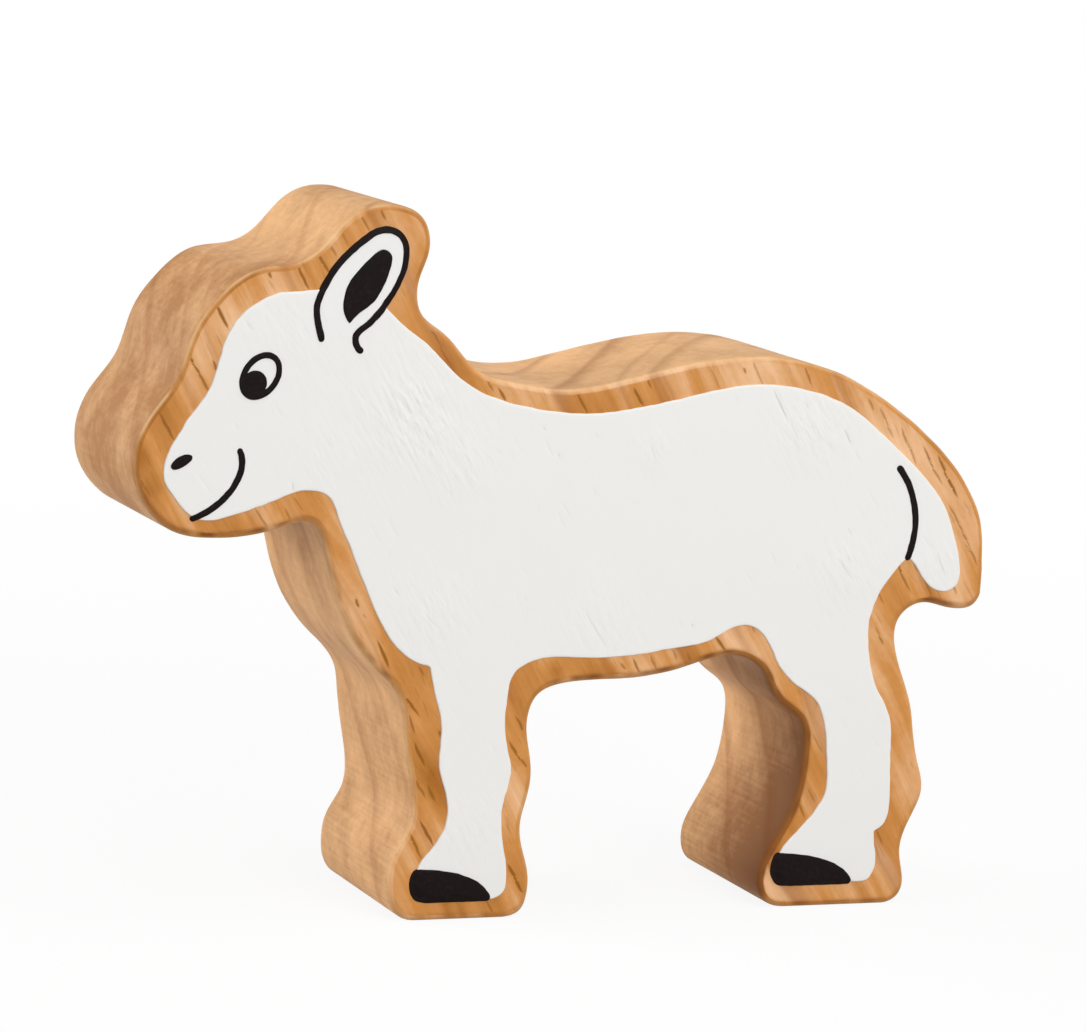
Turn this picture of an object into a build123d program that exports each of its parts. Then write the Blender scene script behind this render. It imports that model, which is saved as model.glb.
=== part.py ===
from build123d import *

import os

# Sheep figurine: one animal cut from a flat board of light hardwood, stood on its two feet.
# The sheep looks towards -X, its painted faces look along -Y (front) and +Y (back), and +Z is up.
# The origin is at the bottom centre: the middle of the length and of the thickness, on the soles.

os.makedirs("parts", exist_ok=True)

# The board
body_length = 95.0
body_height = 73.0
board_thickness = 20.0
edge_rounding = 0.5

# The paint, in two layers that build up on the wood
white_film = 0.15
black_film = 0.15
ear_brush_width = 0.68
mouth_brush_width = 0.66
tail_brush_width = 0.72

# The eye, an oval ring that leans back, with the pupil low in its front end
eye_long_diameter = 5.15
eye_short_diameter = 3.95
eye_ring_width = 0.63
eye_lean = 54.0
pupil_diameter = 2.5
pupil_ahead = 0.55
pupil_drop = 0.70

# The nostril, a narrow oval dab of the brush
nostril_long_diameter = 2.45
nostril_short_diameter = 1.10
nostril_lean = 30.0

# The soles are flat, and the outline's curves run into them level
level_forward = (-1, 0)
sole_tangents = (level_forward, level_forward)
unit_speeds = (1, 1)

# Outlines: each point is a share of the length, from the middle, and a share of the height.
# They run round the sheep from the front of the fore foot over head and back to the hind foot.
fore_leg_front_shares = [
    (-0.158, 0.000),
    (-0.181, 0.013),
    (-0.191, 0.050),
    (-0.186, 0.096),
    (-0.170, 0.135),
    (-0.170, 0.185),
    (-0.182, 0.265),
    (-0.190, 0.317),
]
chest_shares = [
    (-0.222, 0.362),
    (-0.252, 0.411),
    (-0.272, 0.470),
    (-0.285, 0.527),
    (-0.301, 0.561),
]
jaw_shares = [
    (-0.341, 0.553),
    (-0.405, 0.541),
    (-0.450, 0.549),
]
muzzle_shares = [
    (-0.485, 0.585),
    (-0.500, 0.640),
    (-0.488, 0.701),
    (-0.458, 0.759),
]
forehead_shares = [
    (-0.444, 0.816),
    (-0.416, 0.871),
    (-0.377, 0.908),
    (-0.333, 0.918),
]
ear_shares = [
    (-0.306, 0.943),
    (-0.279, 0.981),
    (-0.232, 1.000),
    (-0.197, 0.982),
    (-0.187, 0.945),
    (-0.198, 0.888),
]
back_shares = [
    (-0.193, 0.853),
    (-0.162, 0.822),
    (-0.127, 0.777),
    (-0.078, 0.759),
    (-0.025, 0.751),
    (0.050, 0.767),
    (0.125, 0.790),
    (0.205, 0.801),
    (0.291, 0.784),
]
rump_shares = [
    (0.366, 0.738),
    (0.426, 0.682),
    (0.468, 0.626),
    (0.494, 0.564),
    (0.500, 0.500),
]
tail_shares = [
    (0.492, 0.441),
    (0.464, 0.437),
    (0.421, 0.444),
    (0.401, 0.424),
]
hind_leg_back_shares = [
    (0.402, 0.368),
    (0.423, 0.299),
    (0.437, 0.219),
    (0.447, 0.169),
    (0.430, 0.111),
    (0.426, 0.073),
    (0.430, 0.027),
    (0.398, 0.000),
]

# The underside, from the front of the hind sole over the belly to the rear of the fore sole
hind_leg_inner_shares = [
    (0.285, 0.000),
    (0.258, 0.012),
    (0.250, 0.050),
    (0.264, 0.096),
    (0.285, 0.150),
    (0.294, 0.226),
    (0.288, 0.274),
    (0.257, 0.307),
]
belly_shares = [
    (0.234, 0.352),
    (0.205, 0.371),
    (0.150, 0.358),
    (0.075, 0.340),
    (0.003, 0.335),
    (-0.031, 0.317),
]
fore_leg_inner_shares = [
    (-0.040, 0.282),
    (-0.031, 0.199),
    (-0.040, 0.125),
    (-0.027, 0.038),
    (-0.040, 0.010),
    (-0.100, 0.000),
]

# The ear's painted line: a short start on the cheek, the rim round the ear, and a hooked end
ear_line_start_shares = [
    (-0.304, 0.815),
    (-0.308, 0.833),
    (-0.311, 0.856),
]
ear_rim_shares = [
    (-0.305, 0.883),
    (-0.290, 0.916),
    (-0.266, 0.947),
    (-0.238, 0.965),
    (-0.220, 0.954),
    (-0.215, 0.931),
    (-0.220, 0.899),
    (-0.236, 0.862),
]
ear_line_end_shares = [
    (-0.257, 0.832),
    (-0.266, 0.820),
    (-0.266, 0.811),
    (-0.260, 0.800),
]

# The dark inside of the ear, a leaf that starts and ends at its lower tip
ear_inside_shares = [
    (-0.274, 0.836),
    (-0.281, 0.852),
    (-0.282, 0.871),
    (-0.275, 0.896),
    (-0.256, 0.925),
    (-0.241, 0.938),
    (-0.232, 0.932),
    (-0.232, 0.914),
    (-0.240, 0.884),
    (-0.252, 0.862),
    (-0.266, 0.848),
    (-0.274, 0.836),
]

# The marks of the face and the crease over the tail
eye_centre_shares = [(-0.3682, 0.7634)]
nostril_centre_shares = [(-0.449, 0.646)]
mouth_line_shares = [
    (-0.433, 0.569),
    (-0.414, 0.582),
    (-0.398, 0.600),
    (-0.387, 0.622),
    (-0.383, 0.642),
    (-0.386, 0.661),
]
tail_line_shares = [
    (0.384, 0.643),
    (0.397, 0.619),
    (0.405, 0.593),
    (0.409, 0.561),
    (0.407, 0.533),
    (0.403, 0.513),
]

# The hooves: over the top from the toe to the heel, and down the heel to the flat bottom
fore_hoof_top_shares = [
    (-0.070, 0.028),
    (-0.082, 0.049),
    (-0.100, 0.062),
    (-0.127, 0.071),
    (-0.160, 0.075),
]
fore_hoof_heel_shares = [
    (-0.160, 0.075),
    (-0.164, 0.060),
    (-0.165, 0.045),
    (-0.162, 0.034),
    (-0.155, 0.028),
]
hind_hoof_top_shares = [
    (0.366, 0.034),
    (0.357, 0.051),
    (0.339, 0.065),
    (0.310, 0.076),
    (0.270, 0.082),
]
hind_hoof_heel_shares = [
    (0.270, 0.082),
    (0.266, 0.067),
    (0.265, 0.053),
    (0.268, 0.041),
    (0.276, 0.034),
]

# The edge of the white coat, from the ear round the face and the legs and back to the ear
face_coat_shares = [
    (-0.328, 0.879),
    (-0.354, 0.875),
    (-0.382, 0.857),
    (-0.402, 0.829),
    (-0.412, 0.795),
    (-0.421, 0.751),
    (-0.445, 0.702),
    (-0.461, 0.665),
    (-0.468, 0.634),
    (-0.463, 0.612),
    (-0.449, 0.589),
    (-0.435, 0.572),
    (-0.417, 0.566),
    (-0.391, 0.573),
    (-0.350, 0.591),
]
chest_coat_shares = [
    (-0.299, 0.607),
    (-0.285, 0.599),
    (-0.274, 0.574),
    (-0.254, 0.519),
    (-0.231, 0.456),
    (-0.212, 0.412),
    (-0.191, 0.381),
    (-0.159, 0.362),
]
fore_leg_coat_shares = [
    (-0.150, 0.320),
    (-0.141, 0.272),
    (-0.141, 0.222),
    (-0.132, 0.184),
    (-0.128, 0.145),
    (-0.140, 0.109),
    (-0.156, 0.082),
    (-0.160, 0.058),
    (-0.152, 0.036),
    (-0.115, 0.032),
    (-0.070, 0.029),
    (-0.058, 0.036),
    (-0.054, 0.056),
    (-0.061, 0.110),
    (-0.064, 0.160),
    (-0.057, 0.213),
    (-0.065, 0.255),
    (-0.067, 0.315),
    (-0.060, 0.353),
]
belly_coat_shares = [
    (-0.040, 0.368),
    (0.020, 0.372),
    (0.080, 0.375),
    (0.131, 0.385),
    (0.171, 0.396),
    (0.206, 0.416),
    (0.229, 0.406),
    (0.249, 0.368),
    (0.274, 0.331),
]
hind_leg_coat_shares = [
    (0.303, 0.304),
    (0.316, 0.270),
    (0.322, 0.220),
    (0.323, 0.168),
    (0.307, 0.133),
    (0.286, 0.104),
    (0.275, 0.086),
    (0.269, 0.060),
    (0.279, 0.038),
    (0.320, 0.035),
    (0.365, 0.035),
    (0.386, 0.039),
    (0.393, 0.055),
    (0.391, 0.085),
    (0.389, 0.111),
]
thigh_coat_shares = [
    (0.398, 0.117),
    (0.405, 0.145),
    (0.402, 0.210),
    (0.394, 0.287),
    (0.378, 0.321),
    (0.365, 0.370),
    (0.362, 0.420),
    (0.374, 0.466),
    (0.392, 0.498),
    (0.404, 0.513),
]
tail_coat_shares = [
    (0.419, 0.492),
    (0.435, 0.469),
    (0.452, 0.463),
    (0.467, 0.472),
    (0.469, 0.503),
    (0.461, 0.540),
    (0.445, 0.586),
    (0.416, 0.631),
]
back_coat_shares = [
    (0.383, 0.667),
    (0.341, 0.711),
    (0.297, 0.742),
    (0.251, 0.757),
    (0.203, 0.761),
    (0.144, 0.749),
    (0.086, 0.732),
    (0.033, 0.720),
    (-0.019, 0.718),
    (-0.065, 0.725),
    (-0.110, 0.740),
    (-0.145, 0.764),
    (-0.184, 0.809),
    (-0.207, 0.830),
]

# The coat's corners split its edge into runs: brisket, heel of the hind leg, tail notch, ear
coat_runs_shares = [
    ear_rim_shares[:1] + face_coat_shares + chest_coat_shares,
    chest_coat_shares[-1:] + fore_leg_coat_shares + belly_coat_shares + hind_leg_coat_shares,
    hind_leg_coat_shares[-1:] + thigh_coat_shares,
    thigh_coat_shares[-1:] + tail_coat_shares + back_coat_shares + ear_rim_shares[-1:],
    ear_rim_shares[::-1],
]


def placed(shares):
    """The points of a list of shares, at their real places on the face."""
    return [(along * body_length, up * body_height) for along, up in shares]


def white_coat_sketch(face):
    """The whole painted area, one spline for each run between two corners."""
    with BuildSketch(face) as area:
        with BuildLine():
            for run_shares in coat_runs_shares:
                Spline(placed(run_shares))
        make_face()
    return area.sketch


def brush_line_sketch(face, shares, width):
    """One stroke of the brush along a curve, with round ends."""
    path = placed(shares)
    with BuildSketch(face) as stroke:
        with BuildLine():
            Spline(path)
        trace(line_width=width)
        with Locations(path[0], path[-1]):
            Circle(width / 2)
    return stroke.sketch


def ear_line_sketch(face):
    """The line round the ear, from its start on the cheek to its hooked end."""
    line_shares = ear_line_start_shares + ear_rim_shares + ear_line_end_shares
    return brush_line_sketch(face, line_shares, ear_brush_width)


def ear_inside_sketch(face):
    """The dark leaf inside the ear."""
    with BuildSketch(face) as leaf:
        with BuildLine():
            Spline(placed(ear_inside_shares))
        make_face()
    return leaf.sketch


def eye_sketch(face):
    """The oval ring, with its white left free, and the round pupil over its lower end."""
    long_radius = eye_long_diameter / 2
    short_radius = eye_short_diameter / 2
    with BuildSketch(face) as eye:
        with Locations(placed(eye_centre_shares)):
            Ellipse(long_radius, short_radius, rotation=eye_lean)
            Ellipse(
                long_radius - eye_ring_width,
                short_radius - eye_ring_width,
                rotation=eye_lean,
                mode=Mode.SUBTRACT,
            )
            with Locations((-pupil_ahead, -pupil_drop)):
                Circle(pupil_diameter / 2)
    return eye.sketch


def nostril_sketch(face):
    """The oval dab, which leans back as the eye does."""
    with BuildSketch(face) as dab:
        with Locations(placed(nostril_centre_shares)):
            Ellipse(nostril_long_diameter / 2, nostril_short_diameter / 2, rotation=nostril_lean)
    return dab.sketch


def mouth_line_sketch(face):
    """The line of the smile."""
    return brush_line_sketch(face, mouth_line_shares, mouth_brush_width)


def tail_line_sketch(face):
    """The crease that sets the tail off from the rump."""
    return brush_line_sketch(face, tail_line_shares, tail_brush_width)


def hoof_sketch(face, top_shares, heel_shares):
    """A hoof with a round top, a short heel and a level bottom."""
    top = placed(top_shares)
    heel = placed(heel_shares)
    with BuildSketch(face) as hoof:
        with BuildLine():
            Spline(top)
            Spline(heel)
            Line(heel[-1], top[0])
        make_face()
    return hoof.sketch


def fore_hoof_sketch(face):
    """The hoof of the fore leg."""
    return hoof_sketch(face, fore_hoof_top_shares, fore_hoof_heel_shares)


def hind_hoof_sketch(face):
    """The hoof of the hind leg."""
    return hoof_sketch(face, hind_hoof_top_shares, hind_hoof_heel_shares)


top_points = placed(
    fore_leg_front_shares
    + chest_shares
    + jaw_shares
    + muzzle_shares
    + forehead_shares
    + ear_shares
    + back_shares
    + rump_shares
    + tail_shares
    + hind_leg_back_shares
)
under_points = placed(hind_leg_inner_shares + belly_shares + fore_leg_inner_shares)

# The wooden body, sawn square through the board, with both rims rounded by sanding
with BuildPart() as wooden_body:
    with BuildSketch(Plane.XZ):
        with BuildLine():
            Spline(top_points, tangents=sole_tangents, tangent_scalars=unit_speeds)
            Line(top_points[-1], under_points[0])
            Spline(under_points, tangents=sole_tangents, tangent_scalars=unit_speeds)
            Line(under_points[-1], top_points[0])
        make_face()
    extrude(amount=board_thickness / 2, both=True)
    faces_along_thickness = wooden_body.faces().sort_by(Axis.Y)
    rims = faces_along_thickness[0].edges() + faces_along_thickness[-1].edges()
    fillet(rims, radius=edge_rounding)
wooden_body.part.label = "wooden_body"
export_step(wooden_body.part, "parts/wooden_body.step")

# The paint: on each face a white coat, and over it the black marks.
# A mark that runs past the white's edge fills down to the bare wood there.
black_marks = {
    "ear_line": ear_line_sketch,
    "ear_inside": ear_inside_sketch,
    "eye": eye_sketch,
    "nostril": nostril_sketch,
    "mouth_line": mouth_line_sketch,
    "tail_line": tail_line_sketch,
    "fore_hoof": fore_hoof_sketch,
    "hind_hoof": hind_hoof_sketch,
}
for side, outward in (("front", 1), ("back", -1)):
    painted_face = Plane.XZ.offset(outward * board_thickness / 2)
    coat_area = white_coat_sketch(painted_face)
    with BuildPart() as white_coat:
        extrude(coat_area, amount=outward * white_film)
    white_coat.part.label = f"{side}_white_coat"
    export_step(white_coat.part, f"parts/{side}_white_coat.step")
    for mark_name, mark_sketch in black_marks.items():
        mark_area = mark_sketch(painted_face)
        with BuildPart() as black_mark:
            extrude(mark_area, amount=outward * (white_film + black_film))
            add(white_coat.part, mode=Mode.SUBTRACT)
        black_mark.part.label = f"{side}_{mark_name}"
        export_step(black_mark.part, f"parts/{side}_{mark_name}.step")
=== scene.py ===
"""Looks of a flat wooden lamb: a sawn rubberwood board, painted white and black on both faces.

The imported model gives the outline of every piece. Here each piece is made again as a surface
worked out with numpy: the board with its sanded rims and open pores, the coat with its soft
edge, and the black marks that lie over the coat and run down to the bare wood.
Lengths inside the classes are millimetres, and MM turns them to the scene's metres.
"""
import logging
import math
from dataclasses import dataclass
from enum import Enum
from typing import Any, Optional, Sequence

import bpy
import numpy as np
from mathutils import Matrix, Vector
from mathutils.geometry import delaunay_2d_cdt


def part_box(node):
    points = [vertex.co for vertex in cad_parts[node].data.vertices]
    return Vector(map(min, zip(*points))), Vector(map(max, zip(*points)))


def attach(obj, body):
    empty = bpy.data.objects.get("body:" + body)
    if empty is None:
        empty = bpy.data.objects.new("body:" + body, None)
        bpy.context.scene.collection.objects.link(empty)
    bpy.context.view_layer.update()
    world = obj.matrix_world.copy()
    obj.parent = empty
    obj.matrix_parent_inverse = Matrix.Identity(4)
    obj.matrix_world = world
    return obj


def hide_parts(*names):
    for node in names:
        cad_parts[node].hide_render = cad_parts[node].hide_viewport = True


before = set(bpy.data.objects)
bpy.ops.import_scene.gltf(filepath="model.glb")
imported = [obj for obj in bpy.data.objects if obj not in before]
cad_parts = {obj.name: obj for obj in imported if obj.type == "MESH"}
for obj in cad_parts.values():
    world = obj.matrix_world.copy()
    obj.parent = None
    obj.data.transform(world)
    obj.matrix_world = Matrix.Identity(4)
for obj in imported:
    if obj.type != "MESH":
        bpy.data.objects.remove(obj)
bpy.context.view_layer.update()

MM = 0.001
BODY = "root"
Tree = bpy.types.NodeTree
Socket = bpy.types.NodeSocket
Colour = tuple[float, float, float, float]

log = logging.getLogger("sheep")


class Side(Enum):
    """The two painted faces of the board, with the way that each looks along Y."""

    FRONT = -1
    BACK = 1


class Slot(Enum):
    """The finishes of the pieces."""

    WOOD = "wood"
    WHITE = "white_paint"
    BLACK = "black_paint"


def linear(hex_colour: str) -> Colour:
    """Turns an sRGB hex colour to the linear values that a shader takes.

    Args:
        hex_colour: six hex digits, such as "CF9459".

    Returns:
        Red, green, blue and an alpha of one.
    """
    channels = np.array([int(hex_colour[start:start + 2], 16) for start in (0, 2, 4)]) / 255.0
    low = channels / 12.92
    high = ((channels + 0.055) / 1.055) ** 2.4
    red, green, blue = np.where(channels <= 0.04045, low, high)
    return (float(red), float(green), float(blue), 1.0)


def add_node(
    tree: Tree,
    kind: str,
    inputs: Optional[dict[Any, Any]] = None,
    output: Any = 0,
    **settings: Any,
) -> Optional[Socket]:
    """Adds a shader node with its settings and links.

    Args:
        tree: the material's or the world's node tree.
        kind: the node's type without the "ShaderNode" before it, such as "Math".
        inputs: for each socket a value, or the socket of another node to link.
        output: number or name of the output that is wanted.
        settings: the node's own properties.

    Returns:
        The wanted output, or none of a node that ends the tree.
    """
    node = tree.nodes.new(f"ShaderNode{kind}")
    for name, value in settings.items():
        setattr(node, name, value)
    for socket, value in (inputs or {}).items():
        if isinstance(value, Socket):
            tree.links.new(value, node.inputs[socket])
        else:
            node.inputs[socket].default_value = value
    return node.outputs[output] if node.outputs else None


def new_material(name: str) -> tuple[bpy.types.Material, Tree]:
    """Starts a material with an empty node tree."""
    material = bpy.data.materials.new(name)
    material.use_nodes = True
    material.node_tree.nodes.clear()
    return material, material.node_tree


def end_material(tree: Tree, inputs: dict[str, Any]) -> None:
    """Ends a material's tree with a surface of the given inputs."""
    add_node(tree, "OutputMaterial", {"Surface": add_node(tree, "BsdfPrincipled", inputs)})


def grey(share: float) -> Colour:
    """A grey from 0 to 1: black, white, or a share on a ramp."""
    return (share, share, share, 1.0)


def set_stops(ramp: Socket, stops: Sequence[tuple[float, Colour]]) -> None:
    """Sets the places and the linear colours of a ramp's stops, from its start to its end."""
    elements = ramp.node.color_ramp.elements
    elements[0].position, elements[0].color = stops[0]
    elements[1].position, elements[1].color = stops[-1]
    for place, colour in stops[1:-1]:
        elements.new(place).color = colour


def grains(tree: Tree, place: Socket, sizes: Sequence[float], detail: float) -> Socket:
    """A cloud of noise from 0 to 1 about 0.5.

    Args:
        tree: the material's node tree.
        place: the place that is looked up in the noise.
        sizes: size of a grain of the noise along each axis, in the place's own unit.
        detail: octaves of finer noise on top.

    Returns:
        The socket with the noise.
    """
    scale = tuple(1.0 / size for size in sizes)
    scaled = add_node(tree, "VectorMath", {0: place, 1: scale}, operation="MULTIPLY")
    return add_node(tree, "TexNoise", {"Vector": scaled, "Scale": 1.0, "Detail": detail})


def closed_waves(
    count: int, length: float, shortest: float, longest: float, seed: int
) -> np.ndarray:
    """Small irregular waves round a closed line.

    Each wave is a cosine that fits the line a whole number of times. Their sum is brought to
    a spread of about one.

    Args:
        count: how many even steps the line has.
        length: length of the line.
        shortest: shortest wave.
        longest: longest wave.
        seed: start of the random draw of lengths and phases.

    Returns:
        One height for each step.
    """
    draw = np.random.default_rng(seed)
    wave_count = 40
    lengths = draw.uniform(shortest, longest, wave_count)
    turns = np.rint(length / lengths)[:, None] * np.arange(count)[None, :] / count
    phases = draw.uniform(0.0, 2.0 * np.pi, wave_count)[:, None]
    return np.cos(2.0 * np.pi * turns + phases).sum(axis=0) / math.sqrt(wave_count / 2.0)


def rounded_step(ratio: np.ndarray) -> np.ndarray:
    """A quarter circle from 0 at ratio 0 up to 1 at ratio 1, and 1 past it."""
    clipped = np.clip(ratio, 0.0, 1.0)
    return np.sqrt(1.0 - (1.0 - clipped) ** 2)


def smooth_step(ratio: np.ndarray) -> np.ndarray:
    """An S curve from 0 at ratio 0 up to 1 at ratio 1, level at both ends."""
    clipped = np.clip(ratio, 0.0, 1.0)
    return clipped * clipped * (3.0 - 2.0 * clipped)


def boundary_edges(triangles: np.ndarray) -> np.ndarray:
    """The directed edges that only one triangle has, as pairs of point numbers."""
    edges = np.concatenate([triangles[:, [0, 1]], triangles[:, [1, 2]], triangles[:, [2, 0]]])
    count = int(edges.max()) + 1
    forward = edges[:, 0] * count + edges[:, 1]
    backward = edges[:, 1] * count + edges[:, 0]
    return edges[~np.isin(forward, backward)]


def ordered_loops(edges: np.ndarray) -> list[np.ndarray]:
    """Puts directed edges in order, one closed loop after another.

    The walk round a loop doubles at each turn: the points reached so far, and the points as
    many steps further on.

    Args:
        edges: pairs of point numbers, each point the start of one edge.

    Returns:
        The point numbers of each loop in order.
    """
    following = np.zeros(int(edges.max()) + 1, dtype=np.int64)
    following[edges[:, 0]] = edges[:, 1]
    waiting = np.zeros(len(following), dtype=bool)
    waiting[edges[:, 0]] = True
    loops = []
    while waiting.any():
        start = int(np.flatnonzero(waiting)[0])
        order = np.array([start])
        jump = following
        while not (order[1:] == start).any():
            order = np.concatenate([order, jump[order]])
            jump = jump[jump]
        loop = order[: int(np.flatnonzero(order[1:] == start)[0]) + 1]
        waiting[loop] = False
        loops.append(loop)
    return loops


def flat_loops(node: str, low: float, high: float) -> list[np.ndarray]:
    """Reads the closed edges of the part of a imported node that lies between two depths.

    Args:
        node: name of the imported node.
        low: lowest Y of the triangles to take, in millimetres.
        high: highest Y of the triangles to take.

    Returns:
        For each edge its points (x, y, z) in order, in millimetres.
    """
    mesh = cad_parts[node].data
    mesh.calc_loop_triangles()
    points = np.empty(len(mesh.vertices) * 3, dtype=np.float32)
    mesh.vertices.foreach_get("co", points)
    corners = np.empty(len(mesh.loop_triangles) * 3, dtype=np.int32)
    mesh.loop_triangles.foreach_get("vertices", corners)
    places = points.reshape(-1, 3).astype(float) / MM
    merge_grid = 0.0005
    _, first, merged = np.unique(
        np.rint(places / merge_grid).astype(np.int64), axis=0, return_index=True, return_inverse=True
    )
    places = places[first]
    triangles = merged.reshape(-1)[corners.reshape(-1, 3)]
    depths = places[triangles, 1]
    reach = 0.01
    taken = triangles[((depths > low - reach) & (depths < high + reach)).all(axis=1)]
    return [places[loop] for loop in ordered_loops(boundary_edges(taken))]


def seen_from_front(loops: list[np.ndarray]) -> list[np.ndarray]:
    """The loops as points (x, z), the outermost one counter-clockwise and holes clockwise."""
    flat = [loop[:, [0, 2]] for loop in loops]
    areas = [
        float(np.sum(loop[:, 0] * np.roll(loop[:, 1], -1) - np.roll(loop[:, 0], -1) * loop[:, 1]))
        for loop in flat
    ]
    if max(areas, key=abs) < 0.0:
        return [loop[::-1] for loop in flat]
    return flat


def evened(loop: np.ndarray, softness: float) -> np.ndarray:
    """Evens out a closed loop of even points by a bell curve along it.

    The bell is taken on the loop's waves: each is weakened by exp(-(number * softness)^2 / 2).

    Args:
        loop: points (x, z).
        softness: spread of the bell.

    Returns:
        The evened points.
    """
    count = len(loop)
    numbers = np.fft.fftfreq(count, d=loop_length(loop) / count) * 2.0 * np.pi
    kept = np.exp(-((numbers * softness) ** 2) / 2.0)[:, None]
    return np.real(np.fft.ifft(np.fft.fft(loop, axis=0) * kept, axis=0))


def smooth_loop(corners: np.ndarray, step: float, softness: float) -> np.ndarray:
    """Even points on a smooth closed curve through the corners of a facetted loop.

    Between two corners the curve is a cubic whose ends point the way of the chords beside
    them. A sharp corner, and a chord much longer than its neighbours, which is a straight
    line, keep their own ways. Then a bell curve evens the loop out.

    Args:
        corners: points (x, z) in order.
        step: distance between the new points.
        softness: spread of the bell curve along the loop, zero for none.

    Returns:
        The new points, the same way round.
    """
    sharp_turn = math.cos(math.radians(40.0))
    much_longer = 3.0
    fewest = 12
    ahead = np.roll(corners, -1, axis=0)
    span = np.linalg.norm(ahead - corners, axis=1)
    chord = (ahead - corners) / span[:, None]
    chord_before = np.roll(chord, 1, axis=0)
    span_before = np.roll(span, 1)
    blended = chord_before * span[:, None] + chord * span_before[:, None]
    blended /= (span + span_before)[:, None]
    sharp = (np.sum(chord * chord_before, axis=1) < sharp_turn)[:, None]
    straight = (span > much_longer * np.maximum(span_before, np.roll(span, -1)))[:, None]
    leaving = np.where(sharp | straight, chord, blended)
    arriving = np.where(np.roll(sharp, -1, axis=0) | straight, chord, np.roll(blended, -1, axis=0))
    start = np.concatenate([[0.0], np.cumsum(span)])
    count = max(fewest, int(round(start[-1] / step)))
    run = np.arange(count) * start[-1] / count
    piece = np.searchsorted(start, run, side="right") - 1
    ratio = ((run - start[piece]) / span[piece])[:, None]
    reach = span[piece][:, None]
    curve = (
        (2.0 * ratio**3 - 3.0 * ratio**2 + 1.0) * corners[piece]
        + (ratio**3 - 2.0 * ratio**2 + ratio) * reach * leaving[piece]
        + (3.0 * ratio**2 - 2.0 * ratio**3) * ahead[piece]
        + (ratio**3 - ratio**2) * reach * arriving[piece]
    )
    return evened(curve, softness)


def trembled(
    places: np.ndarray, reach: float, shortest: float, longest: float, seed: int
) -> np.ndarray:
    """Moves places by small irregular waves over the face, as a hand's tremble moves a brush.

    Each wave is a cosine over the face with its own length, way and phase, and moves a place
    its own way. Their sum is brought to a spread of the given reach.

    Args:
        places: points (x, z).
        reach: how far a place is moved on the average.
        shortest: shortest wave.
        longest: longest wave.
        seed: start of the random draw.

    Returns:
        The moved points.
    """
    draw = np.random.default_rng(seed)
    wave_count = 24
    lengths = draw.uniform(shortest, longest, wave_count)
    ways = draw.uniform(0.0, 2.0 * np.pi, wave_count)
    phases = draw.uniform(0.0, 2.0 * np.pi, wave_count)
    moves = draw.uniform(0.0, 2.0 * np.pi, wave_count)
    numbers = 2.0 * np.pi / lengths * np.array([np.cos(ways), np.sin(ways)])
    heights = np.cos(places @ numbers + phases)
    steps = np.stack([np.cos(moves), np.sin(moves)], axis=1)
    return places + reach * heights @ steps * math.sqrt(2.0 / wave_count)


def outward(loop: np.ndarray) -> np.ndarray:
    """Unit vectors to the right of a loop's way: out of the area, and into its holes."""
    along = np.roll(loop, -1, axis=0) - np.roll(loop, 1, axis=0)
    along /= np.linalg.norm(along, axis=1)[:, None]
    return np.stack([along[:, 1], -along[:, 0]], axis=1)


def loop_length(loop: np.ndarray) -> float:
    """Length of a closed loop."""
    return float(np.linalg.norm(np.roll(loop, -1, axis=0) - loop, axis=1).sum())


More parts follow.
